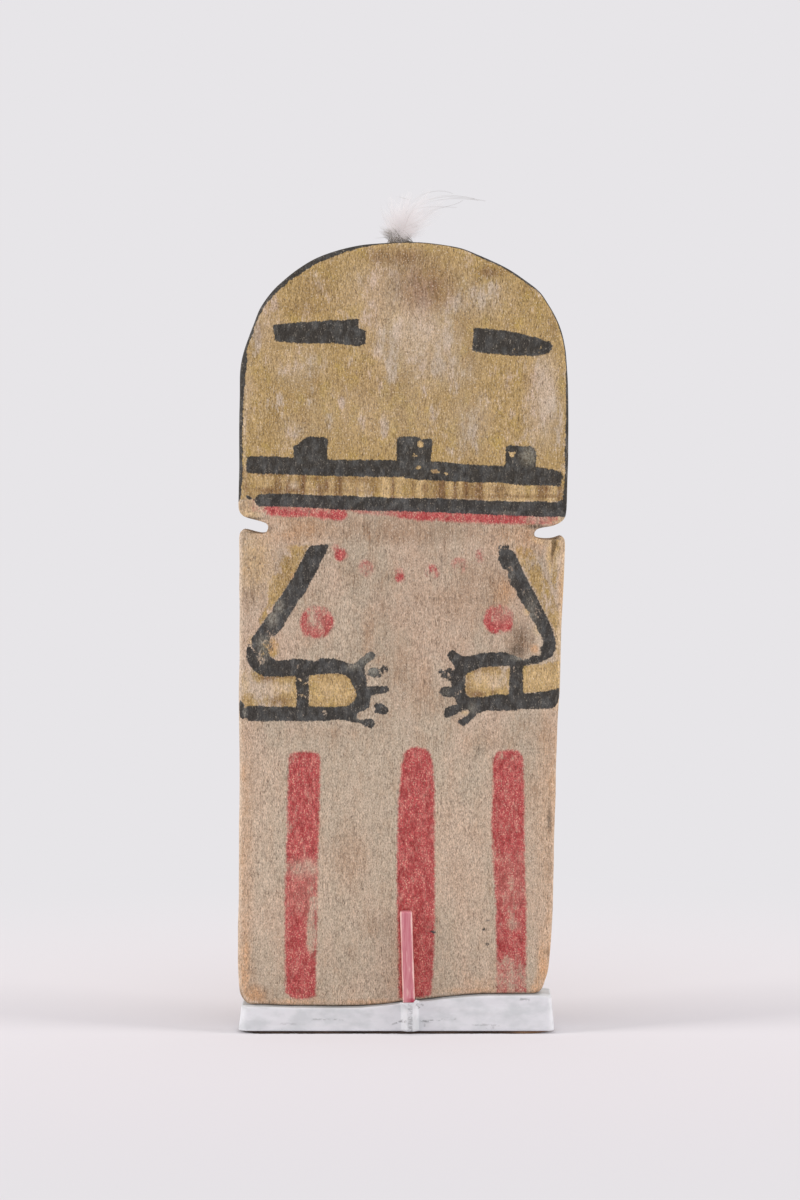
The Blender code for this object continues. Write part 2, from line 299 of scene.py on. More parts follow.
@dataclass(frozen=True)
class Coat:
    """One pigment's shapes, its chips, the places where it flakes and where it is half clear."""

    shapes: tuple[Stroke | Patch | Dab, ...]
    chips: tuple[Stroke | Patch | Dab, ...] = ()
    fades: tuple[Dab, ...] = ()
    thins: tuple[Dab, ...] = ()

    def lay(self, x: np.ndarray, z: np.ndarray) -> tuple[np.ndarray, np.ndarray, np.ndarray]:
        """Work out the coat at each point.

        Args:
            x: the points' place across the board, in mm.
            z: the points' height, in mm.

        Returns:
            The signed distance to the paint's edge, positive inside, its solidity, and how clear
            it is.
        """
        edge, body = np.full(len(x), FAR), np.zeros(len(x))
        for shape in self.shapes:
            low_x, low_z, high_x, high_z = shape.box()
            near = (x > low_x + FAR) & (x < high_x - FAR) & (z > low_z + FAR) & (z < high_z - FAR)
            reach = np.full(len(x), FAR)
            reach[near] = shape.reach(x[near], z[near])
            body = np.maximum(body, shape.body * smoothstep(-1.2, -0.1, reach))
            edge = np.maximum(edge, reach)
        for chip in self.chips:
            edge = np.minimum(edge, -chip.reach(x, z))
        for fade in self.fades:
            body = body * (1.0 - fade.body * smoothstep(1.15, 0.55, fade.radius(x, z)))
        return edge, body, stain_field(x, z, self.thins)


# The doll's outline as it was cut, clockwise from the left end of its lower edge: (x, height).
LEFT_SIDE: Points = (
    (-38.9, 7.6), (-39.8, 8.4), (-40.7, 9.9), (-41.0, 11.3), (-41.2, 13.5), (-41.45, 18.0), (-41.45, 23.6),
    (-41.2, 33.5), (-41.1, 46.0), (-41.0, 58.5), (-40.95, 71.0), (-41.1, 83.6), (-40.95, 92.0),
    (-40.85, 104.0), (-40.85, 121.0), (-40.75, 125.2), (-40.5, 126.0),
)
LEFT_NOTCH: Points = (
    (-39.9, 126.35), (-38.4, 126.1), (-36.5, 125.6), (-35.0, 125.4), (-34.1, 125.7), (-33.7, 126.5),
    (-33.5, 127.2), (-33.8, 127.9), (-34.8, 128.4), (-36.6, 128.9), (-38.4, 129.3), (-39.8, 129.8),
    (-40.6, 130.6), (-41.0, 131.7),
)
HEAD: Points = (
    (-41.0, 136.0), (-40.9, 142.6), (-40.8, 153.6), (-40.5, 166.1), (-39.85, 169.9), (-38.3, 174.6),
    (-37.1, 177.8), (-35.5, 181.6), (-32.4, 185.9), (-29.6, 188.6), (-26.4, 191.2), (-22.1, 193.8),
    (-17.05, 195.7), (-10.8, 197.15), (-4.3, 197.75), (2.0, 198.05), (7.3, 197.75), (12.0, 197.05), (15.0, 196.35),
    (18.5, 194.95), (21.6, 193.6), (25.8, 191.5), (29.7, 189.1), (34.05, 185.65), (36.05, 182.75), (37.85, 179.65),
    (39.5, 175.8), (40.45, 171.7), (40.95, 166.1), (41.2, 159.6), (41.3, 153.6), (41.0, 138.6), (40.7, 131.0),
)
RIGHT_NOTCH: Points = (
    (40.4, 129.5), (39.6, 128.5), (37.4, 127.4), (34.6, 126.9), (33.2, 126.4), (32.7, 125.4), (33.1, 124.5),
    (35.5, 124.0), (37.9, 124.2), (39.6, 124.8), (40.2, 124.4),
)
RIGHT_SIDE: Points = (
    (40.3, 119.4), (40.0, 111.0), (39.6, 102.0), (39.4, 93.6), (39.2, 86.6), (38.9, 82.6), (38.4, 71.0),
    (38.25, 61.0), (37.95, 50.6), (37.7, 40.4), (37.45, 30.0), (36.8, 20.0), (36.3, 15.6), (35.6, 13.4),
    (35.0, 11.7), (34.2, 10.6),
)
LOWER_EDGE: Points = (
    (33.2, 10.2), (22.0, 10.1), (16.5, 9.9), (10.0, 9.3), (3.8, 8.5), (-1.0, 8.0), (-5.0, 7.5),
    (-10.0, 7.1), (-16.0, 7.0), (-28.0, 7.1), (-35.0, 7.4),
)

# How far the head's black edge paint laps on to the face, as (angle round the head, mm). The
# angle is counted from the right-hand side, up and over, about a point at mid face.
LAP_CENTRE = (0.0, 150.0)
EDGE_LAP: Points = (
    (-27.5, -1.2), (-25.0, 0.6), (-10.0, 0.75), (6.0, 0.7), (15.0, 0.45), (21.0, 0.1), (27.0, -0.15), (46.0, -0.2),
    (50.0, 0.25), (55.0, 0.1), (60.0, -0.1), (66.0, 0.2), (71.0, -0.2), (86.0, -0.35), (94.0, -0.2), (99.0, 0.1),
    (103.0, 0.5), (112.0, 1.1), (121.0, 1.3), (130.0, 1.0), (136.0, 0.7), (144.5, 0.25), (146.0, 0.8), (148.0, 0.3), (151.0, 0.3),
    (154.0, 1.2), (165.0, 1.3), (170.0, 0.95),
    (175.0, 0.85), (192.0, 0.85), (200.0, 0.5), (201.0, 0.4), (203.2, -1.2),
)

BLACK = Coat(
    shapes=(
        # The eyes.
        Patch(((-32.2, 177.3), (-25.8, 178.0), (-11.2, 178.8), (-11.2, 176.6), (-9.4, 175.9), (-9.5, 172.8),
               (-11.2, 172.3), (-17.0, 173.0), (-25.3, 172.9), (-31.8, 173.6))),
        Patch(((17.8, 176.7), (26.3, 175.8), (32.7, 174.3), (36.6, 173.2), (37.1, 171.6), (35.6, 170.4),
               (32.7, 169.8), (27.3, 169.9), (19.0, 170.7), (17.2, 171.3)), 0.93),
        # The upper band of the mouth, with its three teeth.
        Patch(((-38.9, 144.8), (-28.2, 144.4), (-18.2, 143.8), (-1.5, 143.7), (6.8, 143.4), (12.0, 143.0),
               (15.0, 142.6), (25.0, 142.2), (33.0, 142.0), (35.0, 141.8), (38.0, 141.2), (39.3, 140.7),
               (39.6, 139.5), (39.1, 137.5), (35.0, 137.7), (30.0, 137.6), (27.0, 138.0), (24.0, 138.4),
               (20.0, 138.3), (10.0, 138.8), (3.0, 139.1), (0.0, 139.7), (-10.0, 139.8), (-20.0, 140.0),
               (-27.0, 140.3), (-33.0, 140.5), (-39.0, 140.7)), 0.95),
        Patch(((-27.2, 142.6), (-27.2, 147.3), (-26.0, 147.6), (-25.3, 148.6), (-24.0, 149.5), (-20.0, 149.5),
               (-19.0, 149.2), (-18.9, 142.1))),
        Patch(((-1.4, 142.1), (-1.4, 149.3), (-0.8, 149.5), (3.6, 149.5), (5.0, 148.9), (7.1, 148.9),
               (7.1, 146.5), (6.6, 141.8)), 0.95),
        Patch(((25.7, 140.4), (25.7, 146.9), (26.3, 147.3), (29.6, 147.3), (29.6, 140.4)), 0.96),
        Patch(((28.0, 140.4), (28.2, 147.2), (31.6, 147.2), (32.8, 146.6), (33.1, 145.0), (33.0, 140.3)), 0.86),
        # The lower band.
        Patch(((-36.9, 133.9), (-36.5, 134.8), (-35.0, 135.3), (-27.0, 135.3), (-20.0, 134.9), (-14.0, 134.8),
               (0.0, 134.2), (9.0, 134.2), (20.0, 133.6), (30.0, 133.3), (35.0, 133.4), (38.5, 133.2),
               (40.0, 134.0), (40.2, 137.8), (41.2, 137.8), (40.9, 129.8), (35.0, 129.8), (30.0, 130.0),
               (20.0, 130.4), (8.0, 131.0), (-15.0, 131.5), (-25.0, 132.2), (-35.0, 132.4), (-36.6, 132.8)), 0.95),
        Stroke(((-38.8, 134.7), (-38.0, 134.35)), 0.3),
        # The left arm, from shoulder to elbow.
        Patch(((-22.7, 122.4), (-18.5, 122.8), (-19.7, 120.2), (-21.1, 117.1), (-22.7, 114.2), (-24.3, 111.3),
               (-25.9, 109.2), (-27.5, 106.5), (-28.6, 105.1), (-30.4, 101.7), (-31.6, 100.5), (-33.6, 99.3),
               (-34.8, 99.6), (-35.9, 99.2), (-36.3, 97.2), (-37.2, 97.4), (-37.8, 99.3), (-36.4, 101.0),
               (-34.5, 103.9), (-32.6, 106.1), (-32.2, 107.5), (-30.2, 110.1), (-27.3, 114.7), (-25.7, 117.8),
               (-24.1, 121.0), (-23.5, 121.8)), 0.97),
        Patch(((-37.0, 97.4), (-38.5, 97.9), (-39.0, 96.9), (-39.0, 94.0), (-37.5, 91.6), (-36.3, 90.6),
               (-34.7, 89.9), (-32.6, 90.6), (-32.0, 93.6), (-33.2, 94.8), (-34.2, 96.2), (-35.6, 97.2)), 0.94),
        Patch(((-36.6, 99.6), (-33.4, 99.6), (-32.6, 96.6), (-34.4, 95.2), (-36.8, 96.6)), 0.6),
        # The forearm, the hand's outline and its lower line.
        Patch(((-34.6, 93.6), (-33.0, 94.2), (-31.6, 93.6), (-26.2, 94.1), (-23.4, 93.8), (-22.0, 93.2),
               (-21.1, 93.9), (-20.1, 94.3), (-16.8, 94.1), (-15.7, 93.5), (-12.2, 92.7), (-10.0, 92.6),
               (-9.2, 89.3), (-9.1, 87.1), (-8.2, 84.8), (-8.5, 82.2), (-9.6, 81.4), (-11.7, 80.6), (-11.7, 79.0),
               (-12.4, 78.6), (-14.7, 79.1), (-14.7, 82.0), (-13.6, 82.5), (-12.2, 83.5), (-11.6, 84.8),
               (-11.7, 86.2), (-13.1, 89.1), (-14.5, 90.2), (-15.9, 90.6), (-18.3, 90.6), (-23.4, 90.2),
               (-30.0, 89.9), (-34.7, 89.9)), 0.96),
        Patch(((-41.2, 80.6), (-40.2, 82.4), (-39.6, 81.6), (-39.2, 82.2), (-38.2, 82.4), (-32.3, 82.1), (-23.7, 82.0), (-12.6, 82.2),
               (-12.6, 79.0), (-17.1, 79.1), (-19.4, 78.8), (-25.3, 78.6), (-28.6, 78.8), (-38.2, 78.7),
               (-39.5, 79.5)), 0.97),
        Patch(((-41.2, 83.6), (-40.6, 83.7), (-39.7, 82.5), (-39.8, 80.8), (-39.6, 79.3), (-40.2, 79.2),
               (-41.2, 80.0)), 0.93),
        Patch(((-26.7, 91.5), (-26.7, 87.9), (-26.4, 85.5), (-26.5, 83.9), (-26.7, 80.6), (-23.5, 80.6),
               (-23.8, 83.9), (-23.5, 85.1), (-23.8, 88.1), (-23.4, 91.5)), 0.97),
        Stroke(((-11.4, 92.3), (-9.6, 93.8), (-7.9, 95.1)), (0.9, 0.9, 0.85), 0.9),
        Dab((-7.3, 90.8), (1.35, 1.15), 0.85),
        Stroke(((-4.9, 92.2), (-5.3, 91.4), (-5.2, 90.7)), 0.22, 0.8),
        Stroke(((-4.5, 92.0), (-4.0, 91.5), (-4.2, 91.2)), 0.22, 0.8),
        Dab((-5.85, 90.1), (0.4, 0.35), 0.9),
        Patch(((-9.6, 87.0), (-7.7, 87.1), (-6.3, 87.5), (-5.6, 87.1), (-4.2, 87.4), (-3.6, 86.9), (-3.7, 86.2),
               (-4.6, 85.6), (-7.2, 85.3), (-9.4, 84.6)), 0.95),
        Patch(((-7.0, 83.0), (-5.6, 82.9), (-4.2, 82.2), (-3.7, 81.4), (-4.3, 80.5), (-5.6, 80.4), (-7.2, 80.9),
               (-6.6, 81.6), (-7.2, 82.3))),
        Patch(((-13.0, 80.0), (-11.2, 79.0), (-10.3, 78.7), (-8.9, 79.1), (-7.8, 78.9), (-7.1, 78.0),
               (-7.8, 76.6), (-8.6, 77.2), (-11.0, 78.3), (-12.6, 78.5)), 0.93),
        # The right arm, with a bristly top where the brush began.
        Patch(((25.4, 121.6), (27.1, 121.3), (27.9, 120.5), (29.2, 117.4), (30.8, 114.2), (32.9, 110.4),
               (34.2, 107.7), (35.7, 104.9), (37.1, 102.0), (37.6, 100.5), (38.1, 97.4), (37.8, 96.2),
               (37.2, 95.0), (35.3, 93.8), (33.9, 93.2), (30.0, 92.7), (28.6, 93.6), (31.0, 94.0), (32.7, 95.0),
               (34.4, 94.8), (34.7, 96.0), (34.4, 96.9), (35.1, 97.6), (35.2, 98.8), (34.1, 100.8),
               (33.2, 102.7), (31.8, 104.9), (31.6, 106.0), (30.8, 106.5), (28.6, 110.4), (28.1, 111.8),
               (27.0, 112.8), (26.4, 114.0), (26.3, 116.4), (25.1, 116.8), (24.4, 118.1), (23.8, 119.3),
               (24.6, 121.3)), 0.96),
        Stroke(((24.2, 120.4), (24.0, 122.4)), 0.18, 0.85),
        Stroke(((25.2, 121.2), (25.3, 122.4)), 0.22, 0.85),
        Stroke(((26.1, 121.2), (26.2, 122.6)), 0.22, 0.85),
        # The right hand's outline, its lower line, thumb and fingers.
        Patch(((15.0, 94.5), (17.0, 94.9), (18.4, 95.1), (19.8, 95.6), (24.1, 95.8), (26.0, 95.7), (28.5, 94.6),
               (31.3, 93.9), (31.3, 92.6), (26.5, 92.6), (21.7, 92.4), (18.9, 92.0), (16.5, 91.1), (15.7, 90.5),
               (15.4, 88.0), (15.4, 86.3), (15.8, 85.1), (16.8, 84.4), (20.5, 84.6), (23.6, 85.3), (26.7, 85.0),
               (29.9, 85.4), (35.9, 86.0), (38.5, 86.6), (39.3, 87.0), (39.4, 84.4), (38.3, 82.6), (37.3, 82.0),
               (33.1, 81.7), (30.0, 81.8), (27.6, 81.4), (20.5, 81.3), (18.4, 80.7), (16.4, 81.4), (14.6, 82.9),
               (13.4, 83.5), (13.0, 84.8), (12.3, 87.1), (11.8, 90.3), (12.5, 91.1), (13.2, 92.0)), 0.96),
        Patch(((26.9, 91.4), (26.6, 86.8), (26.7, 83.6), (29.9, 83.6), (29.9, 93.6), (26.6, 93.6)), 0.97),
        Patch(((11.2, 94.9), (11.8, 96.0), (12.6, 96.4), (14.4, 94.9), (16.2, 94.3), (15.6, 92.0), (13.4, 91.6),
               (11.8, 94.1)), 0.97),
        Dab((9.4, 91.1), (0.5, 0.55), 0.85),
        Dab((11.5, 91.3), (0.55, 0.5), 0.85),
        Dab((10.0, 89.9), (0.5, 0.35), 0.8),
        Dab((11.0, 89.7), (0.45, 0.3), 0.8),
        Dab((11.6, 89.0), (0.4, 0.3), 0.8),
        Dab((10.6, 90.8), (0.35, 0.45), 0.6),
        Patch(((9.2, 86.1), (9.6, 86.9), (10.6, 87.1), (14.0, 87.1), (14.4, 84.8), (9.9, 84.8), (9.3, 85.4)), 0.95),
        Patch(((10.6, 79.7), (11.6, 79.7), (14.6, 81.1), (15.9, 81.7), (17.4, 82.6), (16.4, 84.2), (14.6, 83.0),
               (11.8, 82.3), (10.9, 81.8), (10.4, 81.1))),
        Patch(((19.0, 82.4), (18.0, 79.8), (15.2, 77.4), (13.7, 78.3), (14.1, 78.9), (16.1, 79.8), (16.6, 80.6),
               (16.8, 82.4)), 0.92),
        # Four small specks beside the legs.
        Dab((21.2, 28.6), (0.28, 0.2), 0.7),
        Dab((20.2, 26.4), (0.2, 0.35), 0.7),
        Dab((21.2, 22.6), (0.3, 0.2), 0.7),
        Dab((7.6, 25.6), (0.42, 0.3)),
    ),
    chips=(
        Dab((4.3, 147.7), (0.9, 1.0)),
        Dab((2.7, 145.0), (0.4, 0.85)),
        Dab((3.7, 144.9), (0.3, 0.5)),
        Dab((4.0, 142.0), (0.75, 0.6)),
        Dab((2.2, 141.4), (0.3, 0.35)),
        Dab((0.3, 141.2), (0.3, 0.35)),
        Dab((8.0, 141.0), (1.2, 0.65)),
        Dab((10.7, 140.4), (0.7, 0.5)),
        Dab((7.5, 139.5), (0.35, 0.3)),
        Patch(((26.1, 146.2), (27.1, 145.8), (28.4, 146.3), (28.0, 145.1), (27.3, 144.2), (26.4, 144.9))),
        Patch(((33.7, 171.3), (34.4, 172.6), (34.9, 172.3), (34.5, 171.4), (34.1, 170.8))),
        Dab((-16.0, 176.2), (0.25, 0.22)),
        Dab((-26.4, 148.0), (0.3, 0.25)),
        Stroke(((-38.3, 97.5), (-37.6, 96.9), (-37.1, 96.2)), 0.36),
        Dab((-25.7, 89.0), (0.55, 0.5)),
        Dab((-24.5, 87.9), (0.5, 0.45)),
        Dab((-25.3, 85.0), (0.8, 0.36)),
        Dab((-24.3, 84.6), (0.4, 0.3)),
        Dab((-34.6, 133.4), (0.3, 0.25)),
        Dab((-13.0, 132.0), (0.5, 0.25)),
        Dab((7.2, 133.0), (0.25, 0.2)),
        Dab((13.7, 132.0), (0.3, 0.2)),
        Stroke(((33.0, 107.0), (34.3, 104.6)), 0.1),
    ),
    fades=(
        Dab((-33.3, 100.6), (2.1, 1.3), 0.36),
        Dab((-35.2, 94.6), (1.7, 2.6), 0.42),
        Dab((-31.6, 105.6), (2.0, 3.4), 0.14),
        Dab((-19.6, 80.8), (0.8, 0.9), 0.4),
        Dab((-28.4, 79.3), (1.0, 0.5), 0.35),
        Dab((-26.2, 92.2), (0.8, 0.6), 0.3),
        Dab((-22.8, 92.9), (1.2, 0.7), 0.25),
        Dab((-12.6, 92.4), (2.2, 1.0), 0.25),
        Dab((27.0, 116.8), (1.1, 0.9), 0.36),
        Dab((26.9, 113.8), (0.9, 1.1), 0.32),
        Dab((30.3, 111.2), (1.5, 1.4), 0.3),
        Dab((31.6, 108.6), (1.1, 1.4), 0.34),
        Dab((33.8, 105.7), (1.3, 1.9), 0.36),
        Dab((31.2, 94.2), (2.4, 1.0), 0.3),
        Dab((28.4, 94.4), (2.0, 1.0), 0.2),
        Dab((25.0, 122.0), (2.0, 1.0), 0.25),
        Dab((27.8, 91.7), (1.3, 0.9), 0.34),
        Dab((13.7, 86.0), (1.5, 0.9), 0.28),
        Dab((34.0, 84.6), (3.6, 1.2), 0.15),
        Dab((25.5, 130.7), (3.2, 0.6), 0.2),
        Dab((31.5, 171.0), (4.5, 1.8), 0.08),
        Dab((-12.4, 177.6), (1.6, 1.4), 0.14),
    ),
    thins=(
        Dab((-30.9, 107.4), (1.5, 2.0), 0.5),
        Dab((-32.7, 104.2), (1.7, 2.4), 0.55),
        Dab((-34.8, 95.0), (1.8, 2.4), 0.2),
        Dab((-34.4, 97.8), (2.2, 2.4), 0.5),
        Dab((31.8, 104.6), (1.8, 6.0), 0.3),
        Dab((-39.6, 81.0), (0.35, 1.4), 0.5),
        Dab((-9.2, 94.2), (2.6, 1.9), 0.42),
        Dab((-12.4, 92.2), (2.1, 1.1), 0.42),
        Dab((-7.4, 90.9), (1.6, 1.4), 0.5),
        Dab((-10.8, 79.2), (1.3, 0.9), 0.32),
        Dab((31.3, 145.0), (2.4, 2.8), 0.45),
        Dab((28.8, 94.6), (2.4, 1.0), 0.42),
        Dab((17.3, 81.9), (1.2, 1.7), 0.3),
        Dab((10.6, 85.9), (1.4, 1.2), 0.14),
        Dab((26.9, 115.6), (1.0, 2.6), 0.2),
        Dab((26.0, 130.6), (3.2, 0.5), 0.3),
    ),
)

RED = Coat(
    shapes=(
        # The line under the mouth, in the lengths in which it survives.
        Patch(((-34.2, 132.6), (-14.0, 131.8), (-13.9, 129.6), (-15.5, 128.6), (-18.0, 129.0), (-24.0, 129.8),
               (-27.0, 129.6), (-31.0, 129.9), (-34.0, 130.3)), 0.74),
        Dab((-32.5, 131.1), (1.5, 1.1), 0.95),
        Dab((-29.4, 130.5), (1.8, 0.8), 0.92),
        Dab((-19.8, 129.9), (1.1, 0.8), 0.95),
        Dab((-16.0, 129.6), (1.3, 0.9), 0.95),
        Patch(((-14.0, 131.8), (-1.5, 131.5), (-1.6, 129.8), (-6.0, 130.1), (-12.0, 130.6)), 0.56),
        Patch(((-3.0, 131.6), (3.0, 131.4), (9.6, 131.2), (9.6, 129.0), (5.0, 128.6), (-1.0, 129.5)), 0.82),
        Patch(((8.4, 131.2), (15.0, 131.0), (15.0, 128.3), (10.0, 128.5), (8.4, 129.2)), 0.74),
        Patch(((13.6, 131.0), (21.0, 130.7), (20.8, 128.1), (15.0, 128.3)), 0.76),
        Patch(((19.6, 130.7), (30.6, 130.3), (30.2, 127.9), (20.3, 128.0)), 0.8),
        Dab((6.6, 129.8), (1.6, 0.8), 0.97),
        Dab((17.5, 129.2), (1.4, 0.6), 0.95),
        Dab((26.5, 129.0), (2.6, 0.8), 0.97),
        Patch(((29.4, 130.3), (39.0, 130.0), (38.4, 127.7), (33.0, 127.9), (29.4, 127.9)), 0.58),
        Dab((-36.0, 132.3), (2.4, 1.6), 0.3),
        # The dots of the necklace.
        Dab((-15.5, 120.2), (1.7, 1.6), 0.62),
        Dab((-15.6, 120.1), (0.9, 0.9), 0.99),
        Dab((-16.8, 121.9), (1.0, 1.0), 0.46),
        Dab((-9.3, 116.8), (1.9, 2.1), 0.5),
        Dab((-0.9, 115.2), (1.3, 1.8), 0.46),
        Dab((-0.8, 114.3), (0.8, 0.8), 0.85),
        Dab((7.2, 116.0), (1.9, 1.9), 0.3),
        Dab((7.6, 117.0), (0.7, 0.7), 0.5),
        Dab((14.0, 117.2), (2.2, 2.4), 0.3),
        Dab((19.2, 120.0), (1.1, 1.8), 0.36),
        # The two discs of the chest.
        Dab((-21.5, 103.4), (4.2, 4.1), 0.52),
        Stroke(((-22.0, 106.0), (-20.0, 106.0), (-18.8, 104.9), (-18.5, 103.4), (-19.5, 101.2)), 1.0, 0.56),
        Dab((-18.7, 103.4), (1.2, 1.3), 1.0),
        Dab((-21.6, 100.8), (1.1, 1.1), 0.86),
        Dab((-24.4, 102.2), (0.9, 2.1), 0.7),
        Dab((-24.8, 105.0), (0.5, 0.5), 0.95),
        Dab((-21.6, 103.2), (0.8, 2.4), 0.52),
        Dab((23.9, 104.1), (3.8, 3.8), 0.4),
        Dab((21.8, 106.1), (1.0, 0.9), 0.84),
        Dab((20.9, 104.2), (0.7, 1.1), 0.84),
        Dab((22.3, 101.8), (1.1, 1.0), 0.97),
        Dab((23.9, 104.3), (0.9, 1.9), 0.72),
        Dab((25.2, 103.2), (1.3, 1.5), 0.97),
        Dab((26.2, 102.0), (0.8, 1.0), 0.75),
        # The three stripes of the legs.
        Patch(((-28.6, 69.4), (-28.0, 70.5), (-26.5, 70.9), (-22.5, 70.9), (-21.1, 70.4), (-20.7, 68.6),
               (-20.9, 58.6), (-21.2, 46.1), (-21.5, 33.6), (-21.8, 18.6), (-21.9, 9.4), (-25.8, 8.6),
               (-27.8, 9.0), (-29.5, 10.4), (-29.5, 21.1), (-29.6, 33.6), (-29.2, 46.1), (-28.9, 58.6)), 0.92),
        Patch(((-0.4, 67.4), (0.2, 70.6), (2.0, 71.9), (4.2, 72.1), (6.2, 71.4), (7.4, 68.6), (7.9, 61.1),
               (7.9, 46.1), (8.0, 33.6), (7.8, 21.1), (7.2, 9.6), (3.0, 9.0), (-1.1, 9.1), (-1.2, 21.1),
               (-1.5, 33.6), (-1.5, 46.1), (-1.1, 58.6)), 0.97),
        Patch(((22.6, 69.4), (23.5, 70.9), (26.2, 71.5), (28.8, 71.1), (30.1, 69.4), (30.4, 58.6), (30.4, 46.1),
               (30.8, 33.6), (30.9, 21.1), (30.8, 10.6), (26.8, 10.2), (23.5, 10.3), (23.4, 21.1), (23.2, 33.6),
               (22.5, 43.6), (22.1, 53.6), (22.5, 61.1)), 0.88),
    ),
    fades=(
        Dab((-25.4, 42.0), (5.4, 2.0), 0.3),
        Dab((-22.5, 36.5), (2.0, 4.0), 0.22),
        Dab((-22.4, 32.8), (1.5, 2.4), 0.5),
        Dab((-23.0, 25.2), (1.5, 6.4), 0.6),
        Dab((-29.0, 52.0), (1.6, 3.0), 0.25),
        Dab((27.0, 14.0), (6.0, 7.0), 0.36),
        Dab((27.2, 33.0), (2.0, 9.0), 0.2),
        Dab((23.0, 47.0), (2.2, 4.0), 0.2),
        Dab((26.0, 69.6), (2.4, 1.2), 0.2),
        Dab((0.0, 71.0), (2.2, 2.6), 0.25),
        Dab((-27.5, 69.0), (1.6, 1.8), 0.2),
    ),
    thins=(
        Dab((-24.0, 41.6), (6.0, 3.0), 0.5),
        Dab((-25.0, 35.0), (6.0, 6.0), 0.16),
        Dab((27.5, 27.5), (2.0, 1.6), 0.5),
        Dab((27.5, 37.0), (5.0, 9.0), 0.14),
        Dab((-23.0, 27.0), (1.8, 8.0), 0.25),
        Dab((-24.0, 131.7), (9.0, 0.5), 0.2),
        Dab((-6.0, 130.8), (7.0, 0.9), 0.3),
        Dab((34.0, 129.0), (4.4, 1.4), 0.5),
        Dab((-21.8, 103.4), (3.4, 3.8), 0.3),
        Dab((24.4, 105.2), (3.2, 2.8), 0.36),
        Dab((-37.0, 132.6), (2.0, 1.6), 0.6),
        Dab((-9.0, 116.6), (2.0, 2.4), 0.4),
        Dab((27.0, 13.0), (5.0, 5.0), 0.25),
    ),
)

